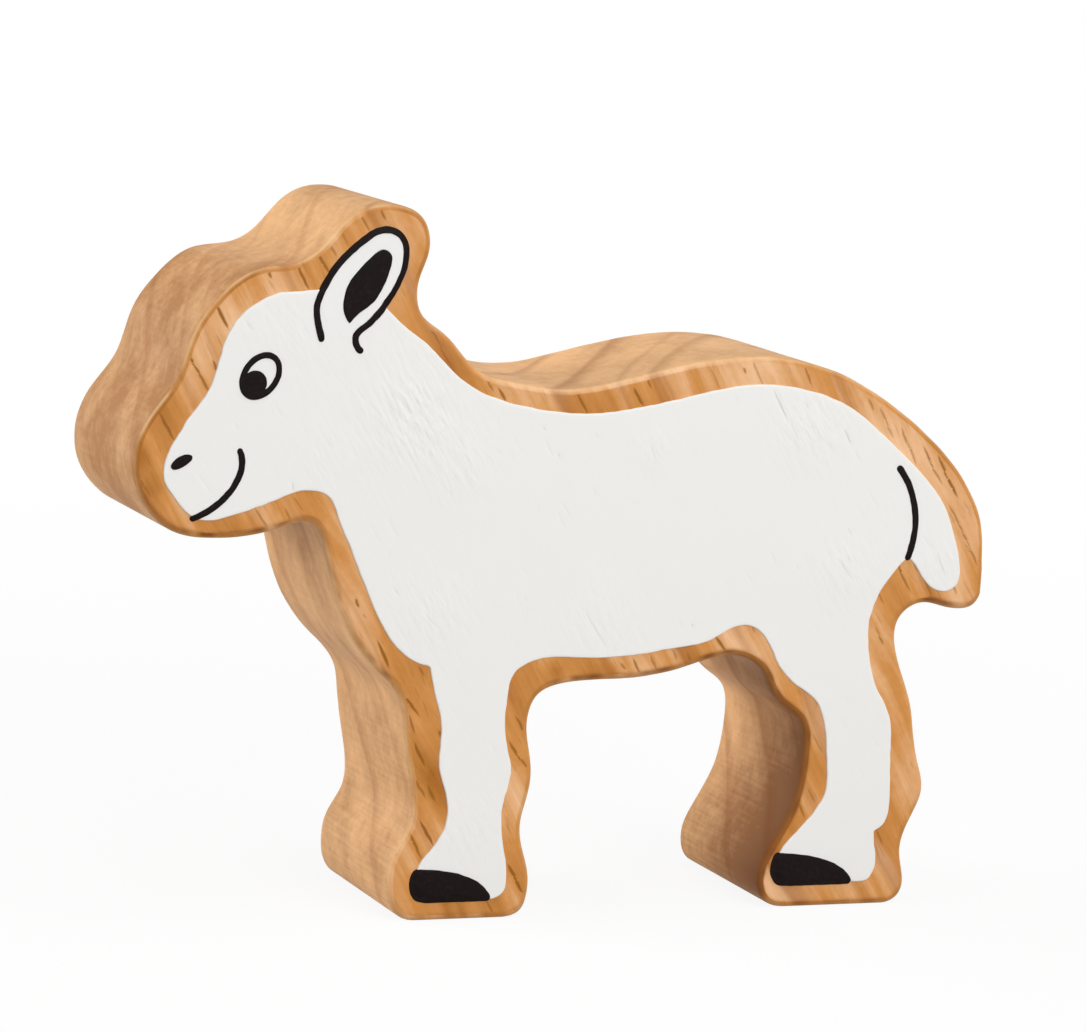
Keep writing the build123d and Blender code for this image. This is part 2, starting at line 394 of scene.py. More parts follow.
@dataclass(frozen=True)
class Area:
    """A flat area of the face, inside its outer loop and outside any hole.

    Attributes:
        loops: closed loops of points (x, z).
    """

    loops: tuple[np.ndarray, ...]

    def edges(self) -> tuple[np.ndarray, np.ndarray]:
        """Both ends of every straight piece of all the loops."""
        starts = np.concatenate(self.loops)
        ends = np.concatenate([np.roll(loop, -1, axis=0) for loop in self.loops])
        return starts, ends

    def nearest(self, places: np.ndarray) -> tuple[np.ndarray, np.ndarray]:
        """Distance from each place to the nearest edge, above zero inside and below outside.

        A place is inside where a line from it to +X crosses the loops an odd number of times.

        Args:
            places: points (x, z).

        Returns:
            One signed distance for each place, and the number of the nearest edge.
        """
        starts, ends = self.edges()
        start_x, start_z = starts.T
        run_x, run_z = (ends - starts).T
        tiny = 1e-12
        square = np.maximum(run_x * run_x + run_z * run_z, tiny)
        slope = run_x / np.where(np.abs(run_z) < tiny, tiny, run_z)
        distance = np.empty(len(places))
        number = np.empty(len(places), dtype=np.int64)
        block = 256
        for first in range(0, len(places), block):
            offset_x = places[first:first + block, 0, None] - start_x
            offset_z = places[first:first + block, 1, None] - start_z
            ratio = np.clip((offset_x * run_x + offset_z * run_z) / square, 0.0, 1.0)
            gap = (offset_x - ratio * run_x) ** 2 + (offset_z - ratio * run_z) ** 2
            crosses = (offset_z < 0.0) != (offset_z < run_z)
            odd = np.count_nonzero(crosses & (offset_x < offset_z * slope), axis=1) % 2 == 1
            closest = np.argmin(gap, axis=1)
            reach = np.sqrt(gap[np.arange(len(gap)), closest])
            distance[first:first + block] = np.where(odd, reach, -reach)
            number[first:first + block] = closest
        return distance, number

    def depth(self, places: np.ndarray) -> np.ndarray:
        """The signed distance alone."""
        return self.nearest(places)[0]

    def ring(self, inset: float) -> np.ndarray:
        """The loops' points moved inwards, without those that would come too near an edge."""
        moved = np.concatenate([loop - inset * outward(loop) for loop in self.loops])
        crowded = 0.93
        return moved[self.depth(moved) > crowded * inset]

    def fill(self, step: float, margin: float, limit: float = math.inf) -> np.ndarray:
        """Points in even triangles over the area, from a margin to a limit away from its edge."""
        low = np.min(self.loops[0], axis=0)
        high = np.max(self.loops[0], axis=0)
        row_step = step * math.sqrt(3.0) / 2.0
        rows = np.arange(low[1], high[1], row_step)
        columns = np.arange(low[0], high[0], step)
        across, up = np.meshgrid(columns, rows)
        across = across + (np.arange(len(rows)) % 2)[:, None] * step / 2.0
        places = np.stack([across.ravel(), up.ravel()], axis=1)
        depth = self.depth(places)
        return places[(depth > margin) & (depth < limit)]

    def triangles(self, places: np.ndarray) -> np.ndarray:
        """Joins places to triangles that keep the area's edges.

        Args:
            places: all points, first those of the loops in order.

        Returns:
            Point numbers, three to a triangle, counter-clockwise.
        """
        edges = []
        first = 0
        for loop in self.loops:
            numbers = first + np.arange(len(loop))
            edges.append(np.stack([numbers, np.roll(numbers, -1)], axis=1))
            first += len(loop)
        same_place = 1e-6
        made, _, faces, *_ = delaunay_2d_cdt(
            places.tolist(), np.concatenate(edges).tolist(), [], 0, same_place
        )
        if len(made) != len(places):
            raise ValueError(f"{len(places)} points went in and {len(made)} came out: two coincide")
        corners = np.array(faces, dtype=np.int64)
        # Only a triangle with all its corners on the loops can lie outside
        doubtful = np.flatnonzero((corners < first).all(axis=1))
        outside = self.depth(places[corners[doubtful]].mean(axis=1)) < 0.0
        return np.delete(corners, doubtful[outside], axis=0)


@dataclass(frozen=True)
class Stroke:
    """One spindle along the grain: an open pore of the wood, or its trace in the paint.

    Attributes:
        across: X of its middle.
        up: Z of its middle.
        length: from end to end.
        strength: depth and darkness, 1 for a strong one.
        lean: angle from upright, towards +X going down, in degrees.
    """

    across: float
    up: float
    length: float
    strength: float = 1.0
    lean: float = 31.0


def spindle_points(
    strokes: Sequence[Stroke], half_width: float, area: Area, margin: float
) -> tuple[np.ndarray, np.ndarray]:
    """Points of every stroke: a middle line at full strength and two sides at none.

    A side stands off the middle line by the half width times a circle's height at that place
    along the stroke, less for a weak stroke, and the strength falls towards both ends.

    Args:
        strokes: the strokes.
        half_width: from the middle line to a side at the middle of the stroke.
        area: the area that holds them.
        margin: least distance of a point from the area's edge.

    Returns:
        The points (x, z) that lie inside, and the strength at each.
    """
    middles = np.array([[stroke.across, stroke.up] for stroke in strokes])
    lengths = np.array([stroke.length for stroke in strokes])
    strengths = np.array([stroke.strength for stroke in strokes])
    leans = np.radians([stroke.lean for stroke in strokes])
    along = np.stack([np.sin(leans), -np.cos(leans)], axis=1)
    beside = np.stack([np.cos(leans), np.sin(leans)], axis=1)
    station_step = 0.24
    counts = np.maximum(4, np.ceil(lengths / station_step).astype(int)) + 1
    owner = np.repeat(np.arange(len(strokes)), counts)
    rank = np.arange(len(owner)) - np.repeat(np.cumsum(counts) - counts, counts)
    station = 2.0 * rank / (counts[owner] - 1) - 1.0
    line = middles[owner] + (station * lengths[owner] / 2.0)[:, None] * along[owner]
    line_strength = strengths[owner] * (1.0 - 0.75 * station**4)
    inner = np.flatnonzero((rank > 0) & (rank < counts[owner] - 1))
    width = half_width * (0.6 + 0.4 * strengths[owner[inner]]) * np.sqrt(1.0 - station[inner] ** 2)
    swell = width[:, None] * beside[owner[inner]]
    places = np.concatenate([line, line[inner] + swell, line[inner] - swell])
    strength = np.concatenate([line_strength, np.zeros(2 * len(inner))])
    places = trembled(places, reach=0.03, shortest=0.9, longest=2.5, seed=5)
    inside = area.depth(places) > margin
    return places[inside], strength[inside]


def scattered_strokes(
    area: Area,
    count: int,
    nearest: float,
    farthest: float,
    strongest: float,
    seed: int,
) -> tuple[Stroke, ...]:
    """Draws faint strokes over an area, as the wood has them between its plain pores.

    Args:
        area: the area.
        count: how many places are drawn over the area's box; those off the area are dropped.
        nearest: least distance from the edge.
        farthest: greatest distance from the edge.
        strongest: greatest strength.
        seed: start of the random draw.

    Returns:
        The strokes, the weak ones more often than the strong.
    """
    draw = np.random.default_rng(seed)
    low = np.min(area.loops[0], axis=0)
    high = np.max(area.loops[0], axis=0)
    places = draw.uniform(low, high, (count, 2))
    shortest, longest = 0.7, 2.6
    lengths = draw.uniform(shortest, longest, count)
    strengths = strongest * draw.uniform(0.35, 1.0, count) ** 2
    lean_spread = 4.0
    leans = draw.normal(Stroke.lean, lean_spread, count)
    depth = area.depth(places)
    kept = np.flatnonzero((depth > nearest) & (depth < farthest))
    # Strokes whose middles lie too close would share points
    least_gap = 0.5
    gaps = np.linalg.norm(places[kept][:, None] - places[kept][None, :], axis=2)
    gaps[np.tril_indices(len(kept))] = np.inf
    kept = kept[gaps.min(axis=0) > least_gap]
    rows = np.column_stack([places, lengths, strengths, leans])[kept]
    return tuple(Stroke(*row) for row in rows.tolist())


def broken(strokes: Sequence[Stroke], seed: int) -> tuple[Stroke, ...]:
    """Breaks strokes into short ones in a wavering row, as cut vessels lie in the wood.

    Args:
        strokes: the strokes.
        seed: start of the random draw.

    Returns:
        The short strokes, which overlap a little.
    """
    draw = np.random.default_rng(seed)
    piece_length = 2.0
    aside_spread = 0.035
    lean_spread = 4.0
    short = []
    for stroke in strokes:
        count = max(1, round(stroke.length / piece_length))
        lean = math.radians(stroke.lean)
        along = (np.arange(count) + 0.5 - count / 2.0) * stroke.length / count
        aside = draw.normal(0.0, aside_spread, count)
        across = stroke.across + along * math.sin(lean) + aside * math.cos(lean)
        up = stroke.up - along * math.cos(lean) + aside * math.sin(lean)
        lengths = stroke.length / count * draw.uniform(1.3, 1.9, count)
        leans = stroke.lean + draw.normal(0.0, lean_spread, count)
        strengths = stroke.strength * draw.uniform(0.75, 1.0, count)
        rows = np.column_stack([across, up, lengths, strengths, leans])
        short.extend(Stroke(*row) for row in rows.tolist())
    return tuple(short)


def clear_of(strokes: Sequence[Stroke], others: Sequence[Stroke]) -> tuple[Stroke, ...]:
    """The strokes whose middles lie well away from all the others' middles."""
    if not others:
        return tuple(strokes)
    middles, taken = (
        np.array([[stroke.across, stroke.up] for stroke in group]) for group in (strokes, others)
    )
    least_gap = 1.2
    gaps = np.linalg.norm(middles[:, None] - taken[None, :], axis=2).min(axis=1)
    return tuple(strokes[number] for number in np.flatnonzero(gaps > least_gap))


def away_from(places: np.ndarray, others: np.ndarray, reach: float) -> np.ndarray:
    """The places with none of the others nearer than the reach."""
    kept = np.empty(len(places), dtype=bool)
    block = 2048
    for first in range(0, len(places), block):
        gap = places[first:first + block, None, :] - others
        kept[first:first + block] = np.min(np.sum(gap * gap, axis=2), axis=1) > reach * reach
    return places[kept]


def add_object(name: str, data: bpy.types.ID) -> bpy.types.Object:
    """Makes an object of a mesh, a lamp or a camera, and links it to the scene."""
    thing = bpy.data.objects.new(name, data)
    bpy.context.scene.collection.objects.link(thing)
    return thing


def set_place(thing: bpy.types.Object, ways: Sequence[np.ndarray], place: np.ndarray) -> None:
    """Turns a thing until its X, Y and Z lie along three unit vectors, and moves it to a place."""
    matrix = Matrix(np.stack(ways, axis=1).tolist()).to_4x4()
    matrix.translation = place.tolist()
    thing.matrix_world = matrix


def make_piece(
    name: str,
    points: np.ndarray,
    triangles: np.ndarray,
    corner_places: np.ndarray,
    marks: dict[str, np.ndarray],
) -> bpy.types.Object:
    """Makes a smooth-shaded mesh object in the frame.

    Args:
        name: name of the piece.
        points: points (x, y, z) in millimetres.
        triangles: point numbers, three to a triangle.
        corner_places: for each corner of each triangle its place on the surface, in millimetres.
        marks: named values, one for each point.

    Returns:
        The object, at the origin, with its place in its mesh.
    """
    mesh = bpy.data.meshes.new(name)
    mesh.vertices.add(len(points))
    mesh.vertices.foreach_set("co", (points * MM).astype(np.float32).ravel())
    mesh.loops.add(triangles.size)
    mesh.loops.foreach_set("vertex_index", triangles.astype(np.int32).ravel())
    mesh.polygons.add(len(triangles))
    mesh.polygons.foreach_set("loop_start", np.arange(0, triangles.size, 3, dtype=np.int32))
    mesh.polygons.foreach_set("use_smooth", np.ones(len(triangles), dtype=bool))
    surface = mesh.uv_layers.new(name="surface_mm")
    surface.data.foreach_set("uv", corner_places.astype(np.float32).ravel())
    for mark, values in marks.items():
        attribute = mesh.attributes.new(mark, "FLOAT", "POINT")
        attribute.data.foreach_set("value", values.astype(np.float32))
    mesh.update(calc_edges=True)
    mesh.validate()
    return add_object(name, mesh)


def settle(piece: bpy.types.Object, material: bpy.types.Material, node: str) -> None:
    """Dresses a piece and sets it in the frame in its node's stead.

    Args:
        piece: the finished piece.
        material: its finish.
        node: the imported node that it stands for.
    """
    piece.data.materials.append(material)
    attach(piece, BODY)
    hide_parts(node)
    log.info("%s: %d triangles, stands for %s", piece.name, len(piece.data.polygons), node)


# The mix node keeps its colour sockets at these numbers, because A and B name several sockets.
MIX_A = 6
MIX_B = 7
MIX_RESULT = 2


@dataclass(frozen=True)
class LateWood:
    """A dense, dark growth layer that the faces and the walls cut through.

    Attributes:
        across: its place along the layers' normal, in millimetres.
        width: from one soft side to the other.
        strength: darkness, 1 for a strong one.
    """

    across: float
    width: float
    strength: float


@dataclass(frozen=True)
class Tint:
    """A soft round place that differs from the rest.

    Attributes:
        across: X of its middle.
        up: Z of its middle.
        radius: where it has fallen to about a third.
        change: how strong it is at its middle.
    """

    across: float
    up: float
    radius: float
    change: float


def tinted(places: np.ndarray, tints: Sequence[Tint]) -> np.ndarray:
    """Sums tints at places (x, z), each as a bell: change times exp(-(gap / radius) squared)."""
    middles = np.array([[tint.across, tint.up] for tint in tints])
    radii = np.array([tint.radius for tint in tints])
    changes = np.array([tint.change for tint in tints])
    gaps = np.linalg.norm(places[:, None] - middles[None, :], axis=2) / radii
    return np.exp(-(gaps**2)) @ changes


@dataclass(frozen=True)
class WoodCloud:
    """One scale of the wood's changes of tone.

    Attributes:
        sizes: size of a grain of the noise across, along and beside the grain of the wood.
        detail: octaves of finer noise on top.
        on_wall: how strongly it shows on the sawn walls.
        on_face: how strongly it shows on the planed faces.
    """

    sizes: tuple[float, float, float]
    detail: float
    on_wall: float
    on_face: float


@dataclass(frozen=True)
class VarnishedRubberwood:
    """Rubberwood, planed, band-sawn, sanded and given a clear satin varnish.

    The eye sees a golden straw colour with soft bands where the blade cut through the growth
    layers, a faint fibre along the grain and open pores as short brown dashes. The sawn walls
    drank less varnish: they are paler, cloudy and slightly ribbed across the thickness. The
    sanded rims show a pale line with a painted highlight where they face up and ahead, and a
    painted shade darkens the edges that face down, the arch and the inner hind wall.

    Attributes:
        face_tones: from the palest to the darkest wood of the planed faces.
        wall_tones: the same for the sawn walls.
        rim_pale_and_highlight: where a rim was sanded through the varnish, brightened by a painted
            highlight.
        late_colour: the dark growth layers.
        pore_colour: the open pores.
        painted_shade_colour: the painted shade along the edges that face down and in the arch.
        mean_tone: where untinted wood lies on the ramp of tones.
        lean: the grain's angle from upright, towards +X going down, in degrees.
        layer_normal: the way across the growth layers.
        layer_span: places along that way where the ramp of dark layers starts and ends.
        wander: width of the layers' wander, in millimetres.
        wander_scale: how many of these waves fit a metre.
        clouds: the scales of the wood's changes of tone.
        faint_pore: size of a pore too faint to be a groove, drawn about twice as wide as real
            ones, which would be finer than the picture.
        rib_pitch: distance of the saw's ribs, in millimetres.
        rib_length: how far a rib runs across the thickness.
        rib_shade: how much darker the bottom of a rib is.
        late_layers: the dark layers, from the head to the tail.
        relief: height of the ribs and faint pores, in millimetres.
    """

    face_tones: tuple[str, ...] = ("F4C598", "D28F49", "A76514")
    wall_tones: tuple[str, ...] = ("ECB983", "D09F6D", "AC7745")
    rim_pale_and_highlight: str = "F3CF9C"
    late_colour: str = "96520E"
    pore_colour: str = "93580A"
    painted_shade_colour: str = "7A4516"
    mean_tone: float = 0.48
    lean: float = 31.0
    layer_normal: tuple[float, float, float] = (0.679, -0.611, 0.408)
    layer_span: tuple[float, float] = (-30.0, 65.0)
    wander: float = 3.0
    wander_scale: float = 55.0
    clouds: tuple[WoodCloud, ...] = (
        WoodCloud((3.2, 90.0, 14.0), 2.0, 0.5, 1.0),
        WoodCloud((1.0, 20.0, 3.0), 1.0, 0.15, 0.48),
        WoodCloud((0.30, 6.0, 0.30), 1.0, 0.16, 0.2),
        WoodCloud((5.5, 9.0, 6.5), 0.5, 0.8, 0.75),
        WoodCloud((1.4, 3.0, 1.6), 1.0, 0.55, 0.15),
        WoodCloud((0.5, 0.8, 0.5), 1.0, 0.3, 0.12),
    )
    faint_pore: tuple[float, float, float] = (0.24, 2.4, 0.24)
    rib_pitch: float = 0.42
    rib_length: float = 9.0
    rib_shade: float = 0.6
    late_layers: tuple[LateWood, ...] = (
        LateWood(-7.0, 1.6, 0.4), LateWood(0.0, 1.4, 0.25), LateWood(3.1, 1.0, 0.25),
        LateWood(11.2, 1.4, 0.35), LateWood(19.7, 1.6, 0.5), LateWood(26.2, 2.2, 0.65),
        LateWood(31.0, 1.2, 0.35), LateWood(34.4, 2.2, 0.5), LateWood(48.3, 1.8, 0.4),
    )
    relief: float = 0.06

    def material(self) -> bpy.types.Material:
        """Builds the finish from the grain's three directions and the saw's ribs.

        Returns:
            The material. It reads the marks "face", "rim", "pooled", "pore" and "tint" and
            the map "surface_mm".
        """
        material, tree = new_material("varnished_rubberwood")
        place = add_node(tree, "TexCoord", output="Object")
        on_face, on_rim, painted_shade, pore, tint = (
            add_node(tree, "Attribute", output="Fac", attribute_name=mark)
            for mark in ("face", "rim", "painted_shade", "pore", "tint")
        )
        lean = math.radians(self.lean)
        normal = np.array(self.layer_normal)
        grain = np.array([math.sin(lean), 0.0, -math.cos(lean)])
        across, along, beside = (
            self.along_axis(tree, place, axis) for axis in (normal, grain, np.cross(normal, grain))
        )
        drift = add_node(tree, "TexNoise", {"Vector": place, "Scale": self.wander_scale, "Detail": 1.0})
        layer = add_node(tree, "Math", {0: drift, 1: self.wander, 2: across}, operation="MULTIPLY_ADD")
        layer = add_node(tree, "Math", {0: layer, 1: -self.wander / 2.0})
        in_grain = add_node(tree, "CombineXYZ", {0: layer, 1: along, 2: beside})
        ribs = self.ribs(tree, place, on_face)
        fibre = grains(tree, in_grain, self.faint_pore, 0.0)
        faint = {"Value": fibre, "From Min": 0.72, "From Max": 0.84, "To Max": 0.25}
        faint_pores = add_node(tree, "MapRange", faint)
        open_pores = add_node(tree, "MapRange", {"Value": pore, "From Min": 0.08, "From Max": 0.70})
        pores = add_node(tree, "Math", {0: open_pores, 1: faint_pores}, operation="MAXIMUM")
        colour = self.toned(tree, self.darkness(tree, in_grain, on_face, tint, ribs), on_face)
        # Over the wood's own colour go the late wood, the sanded rim line with its painted highlight,
        # the painted shade along the downward edges and in the arch, and the pores
        layers_of_colour = (
            (self.late_wood(tree, layer, on_face), self.late_colour),
            (self.rim_line(tree, on_face, on_rim), self.rim_pale_and_highlight),
            (painted_shade, self.painted_shade_colour),
            (pores, self.pore_colour),
        )
        for share, hex_colour in layers_of_colour:
            mixed = {"Factor": share, MIX_A: colour, MIX_B: linear(hex_colour)}
            colour = add_node(tree, "Mix", mixed, MIX_RESULT, data_type="RGBA")
        height = add_node(tree, "Math", {0: faint_pores, 1: -1.5, 2: ribs}, operation="MULTIPLY_ADD")
        relief = {"Height": height, "Strength": 0.6, "Distance": self.relief * MM}
        surface = {
            "Base Color": colour,
            "Roughness": add_node(tree, "MapRange", {"Value": on_face, "To Min": 0.60, "To Max": 0.45}),
            "IOR": 1.5,
            "Specular IOR Level": 0.22,
            "Normal": add_node(tree, "Bump", relief),
        }
        end_material(tree, surface)
        return material

    def along_axis(self, tree: Tree, place: Socket, axis: np.ndarray) -> Socket:
        """How far a place lies along an axis, in millimetres."""
        return add_node(
            tree, "VectorMath", {0: place, 1: tuple(axis / MM)}, "Value", operation="DOT_PRODUCT"
        )

    def ribs(self, tree: Tree, place: Socket, on_face: Socket) -> Socket:
        """The saw's ribs on the walls, which the sander left mostly at the feet.

        Args:
            tree: the material's node tree.
            place: place in the frame.
            on_face: 1 on a face and 0 on a wall.

        Returns:
            The socket with the ribs' height, from -0.5 to 0.5.
        """
        surface = add_node(tree, "UVMap", uv_map="surface_mm")
        ribs = grains(tree, surface, (self.rib_pitch, self.rib_length, math.inf), 1.0)
        ribs = add_node(tree, "Math", {0: ribs, 1: -0.5})
        up = self.along_axis(tree, place, np.array([0.0, 0.0, 1.0]))
        sanded = {"Value": up, "From Min": 8.0, "From Max": 22.0, "To Min": 1.0, "To Max": 0.35}
        on_wall = {"Value": on_face, "From Max": 0.3, "To Min": 1.0, "To Max": 0.0}
        for share in (sanded, on_wall):
            left = add_node(tree, "MapRange", share)
            ribs = add_node(tree, "Math", {0: ribs, 1: left}, operation="MULTIPLY")
        return ribs

    def darkness(
        self, tree: Tree, in_grain: Socket, on_face: Socket, tint: Socket, ribs: Socket
    ) -> Socket:
        """Sums the clouds of tone on the tint of the place.

        Args:
            tree: the material's node tree.
            in_grain: coordinates across, along and beside the grain, in millimetres.
            on_face: 1 on a face and 0 on a wall.
            tint: the place's own darkness beside the mean.
            ribs: height of the saw's ribs.

        Returns:
            The socket with the darkness, from 0 to 1.
        """
        tone = add_node(tree, "Math", {0: tint, 1: self.mean_tone})
        tone = add_node(tree, "Math", {0: ribs, 1: -self.rib_shade, 2: tone}, operation="MULTIPLY_ADD")
        for cloud in self.clouds:
            cloudy = grains(tree, in_grain, cloud.sizes, cloud.detail)
            centred = add_node(tree, "Math", {0: cloudy, 1: -0.5})
            strength = {"Value": on_face, "To Min": cloud.on_wall, "To Max": cloud.on_face}
            share = add_node(tree, "MapRange", strength)
            tone = add_node(tree, "Math", {0: centred, 1: share, 2: tone}, operation="MULTIPLY_ADD")
        return add_node(tree, "Clamp", {"Value": tone})

    def toned(self, tree: Tree, darkness: Socket, on_face: Socket) -> Socket:
        """The wood's own colour, from its pale to its dark tone on the walls and on the faces."""
        shades = []
        for tones in (self.wall_tones, self.face_tones):
            shades.append(add_node(tree, "ValToRGB", {"Fac": darkness}))
            places = np.linspace(0.0, 1.0, len(tones)).tolist()
            set_stops(shades[-1], [(place, linear(tone)) for place, tone in zip(places, tones)])
        mixed = {"Factor": on_face, MIX_A: shades[0], MIX_B: shades[1]}
        return add_node(tree, "Mix", mixed, MIX_RESULT, data_type="RGBA")

    def rim_line(self, tree: Tree, on_face: Socket, on_rim: Socket) -> Socket:
        """The thin pale line where the rim was sanded through the varnish, with a painted highlight on
        it.
        """
        line = add_node(tree, "ValToRGB", {"Fac": on_face})
        shares = ((0.0, 0.0), (0.05, 0.0), (0.5, 1.0), (0.95, 0.0), (1.0, 0.0))
        set_stops(line, [(place, grey(share)) for place, share in shares])
        return add_node(tree, "Math", {0: on_rim, 1: line}, operation="MULTIPLY")

    def late_wood(self, tree: Tree, layer: Socket, on_face: Socket) -> Socket:
        """The dark layers, as a ramp over the coordinate across them, fainter on the walls.

        Each rises quickly on its low side and fades slowly on its high side.
        """
        low, high = self.layer_span
        stops = [(0.0, grey(0.0))]
        for late in self.late_layers:
            for offset, share in ((-0.5, 0.0), (-0.2, late.strength), (0.5, 0.0)):
                place = (late.across + offset * late.width - low) / (high - low)
                stops.append((place, grey(share)))
        run = add_node(tree, "MapRange", {"Value": layer, "From Min": low, "From Max": high})
        layers = add_node(tree, "ValToRGB", {"Fac": run})
        set_stops(layers, [*stops, (1.0, grey(0.0))])
        share = add_node(tree, "MapRange", {"Value": on_face, "To Min": 0.8, "To Max": 1.0})
        return add_node(tree, "Math", {0: layers, 1: share}, operation="MULTIPLY")


@dataclass(frozen=True)
class BrushedWhitePaint:
    """White acrylic paint brushed thickly on sanded wood, which dries satin.

    The eye sees a neutral white with a soft sheen. Where the coat is thin the wood's pores
    show as short shallow dashes along the grain, greyed by a painted shade in each dent.

    Attributes:
        colour: the dry paint.
        sunk: painted shade in the dents where it has sunk into a pore.
        grain_lean: lean of the dashes over the wood's fibre, from upright, in degrees.
        brush_lean: lean of the brush marks.
        dash: width, depth and length of a dash, in millimetres.
        relief: height of the dashes, in millimetres.
    """

    colour: str = "EEEDEA"
    sunk: str = "CCCAC5"
    grain_lean: float = 31.0
    brush_lean: float = -38.0
    dash: tuple[float, float, float] = (0.58, 0.58, 2.0)
    relief: float = 0.19

    def material(self) -> bpy.types.Material:
        """Builds the finish. It reads the marks "sunk" and "thin"."""
        material, tree = new_material("brushed_white_acrylic")
        place = add_node(tree, "TexCoord", output="Object")
        sunk, thin = (
            add_node(tree, "Attribute", output="Fac", attribute_name=mark) for mark in ("sunk", "thin")
        )
        grain, brush = (
            self.dashes(tree, place, lean) for lean in (self.grain_lean, self.brush_lean)
        )
        height = add_node(tree, "Math", {0: brush, 1: 0.5, 2: grain}, operation="MULTIPLY_ADD")
        thin = add_node(tree, "MapRange", {"Value": thin, "To Min": 0.06, "To Max": 1.0})
        height = add_node(tree, "Math", {0: height, 1: thin}, operation="MULTIPLY")
        relief = {"Height": height, "Strength": 0.9, "Distance": self.relief * MM}
        # The grey in the sunk dashes is painted shade of their dents
        sunk = add_node(tree, "Math", {0: sunk, 1: 1.6}, operation="POWER")
        mixed = {"Factor": sunk, MIX_A: linear(self.colour), MIX_B: linear(self.sunk)}
        surface = {
            "Base Color": add_node(tree, "Mix", mixed, MIX_RESULT, data_type="RGBA"),
            "Roughness": 0.46,
            "IOR": 1.46,
            "Normal": add_node(tree, "Bump", relief),
        }
        end_material(tree, surface)
        return material

    def dashes(self, tree: Tree, place: Socket, lean: float) -> Socket:
        """Long thin bumps that lean from upright towards +X going down, in degrees."""
        turn = {"Vector": place, "Angle": math.radians(lean)}
        turned = add_node(tree, "VectorRotate", turn, rotation_type="Y_AXIS")
        return grains(tree, turned, [size * MM for size in self.dash], 1.0)


@dataclass(frozen=True)
class BrushedBlackPaint:
    """Black acrylic paint drawn with a fine brush over the white.

    The eye sees a soft warm black, a little uneven where the brush ran dry.

    Attributes:
        colour: the full paint.
        dry: where the brush ran dry.
        fleck: size of a dry fleck, in millimetres.
        relief: height of the flecks, in millimetres.
    """

    colour: str = "140C0B"
    dry: str = "1E1614"
    fleck: float = 0.4
    relief: float = 0.03

    def material(self) -> bpy.types.Material:
        """Builds the finish from flecks of the dry brush."""
        material, tree = new_material("brushed_black_acrylic")
        place = add_node(tree, "TexCoord", output="Object")
        flecks = grains(tree, place, [self.fleck * MM] * 3, 2.0)
        dry = add_node(tree, "MapRange", {"Value": flecks, "From Min": 0.5, "From Max": 0.8})
        mixed = {"Factor": dry, MIX_A: linear(self.colour), MIX_B: linear(self.dry)}
        relief = {"Height": flecks, "Strength": 0.2, "Distance": self.relief * MM}
        surface = {
            "Base Color": add_node(tree, "Mix", mixed, MIX_RESULT, data_type="RGBA"),
            "Roughness": 0.5,
            "IOR": 1.46,
            "Specular IOR Level": 0.08,
            "Normal": add_node(tree, "Bump", relief),
        }
        end_material(tree, surface)
        return material


@dataclass(frozen=True)
class CoatEdge:
    """The white coat's outline and how it rises from the wood.

    Attributes:
        area: the painted area.
        film: thickness of the coat.
        round_width: width of the rounded edge.
        ramp_start: where a brush over the edge begins to rise, beside the edge.
        ramp_width: how far it takes to rise to the coat's height.
    """

    area: Area
    film: float
    round_width: float = 0.13
    ramp_start: float = -0.12
    ramp_width: float = 0.40

    def height(self, places: np.ndarray) -> np.ndarray:
        """Height of the coat above the wood: a quarter circle at the edge, level inside."""
        return self.film * rounded_step(self.area.depth(places) / self.round_width)

    def buried_height(self, places: np.ndarray) -> np.ndarray:
        """Height at which a brush over the coat's edge runs down to the wood: an S curve."""
        rise = (self.area.depth(places) - self.ramp_start) / self.ramp_width
        return self.film * smooth_step(rise)


@dataclass
class PaintFilm:
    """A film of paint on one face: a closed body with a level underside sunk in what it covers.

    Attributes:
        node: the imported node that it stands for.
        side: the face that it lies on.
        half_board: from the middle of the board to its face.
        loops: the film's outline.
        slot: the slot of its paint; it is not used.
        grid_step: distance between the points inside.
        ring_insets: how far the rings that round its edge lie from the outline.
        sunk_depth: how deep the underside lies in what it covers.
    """

    node: str
    side: Side
    half_board: float
    loops: tuple[np.ndarray, ...]
    slot: Slot = Slot.BLACK
    grid_step: float = 0.25
    ring_insets: tuple[float, ...] = (0.02, 0.05, 0.09)
    sunk_depth: float = 0.05

    def spread(self, area: Area) -> np.ndarray:
        """Points of the outline, of the rings that round its edge, and of the inside."""
        rings = [area.ring(inset) for inset in self.ring_insets]
        margin = self.ring_insets[-1] + self.grid_step / 2.0
        return np.concatenate([*area.loops, *rings, area.fill(self.grid_step, margin)])

    def lay(
        self,
        area: Area,
        places: np.ndarray,
        heights: tuple[np.ndarray, np.ndarray],
        marks: dict[str, np.ndarray],
        finish: bpy.types.Material,
    ) -> bpy.types.Object:
        """Closes the film and dresses it.

        The body is the upper surface, the same surface turned over, and the rim between.

        Args:
            area: the painted area.
            places: points (x, z) of the film, first those of the outline.
            heights: height of the upper surface and of the underside above the wood.
            marks: named values, one for each point of the upper surface.
            finish: the paint.

        Returns:
            The finished piece.
        """
        triangles = area.triangles(places)
        count = len(places)
        depth = self.side.value * (self.half_board + np.concatenate(heights))
        both = np.concatenate([places, places])
        start, end = boundary_edges(triangles).T
        skirt = [[end, start, start + count], [end, start + count, end + count]]
        closed = np.concatenate(
            [triangles, triangles[:, ::-1] + count, *(np.stack(half, axis=1) for half in skirt)]
        )
        if self.side is Side.BACK:
            closed = closed[:, ::-1]
        piece = make_piece(
            f"{self.node}_brushed",
            np.stack([both[:, 0], depth, both[:, 1]], axis=1),
            closed,
            both[closed].reshape(-1, 2),
            {mark: np.concatenate([values, values]) for mark, values in marks.items()},
        )
        settle(piece, finish, self.node)
        return piece


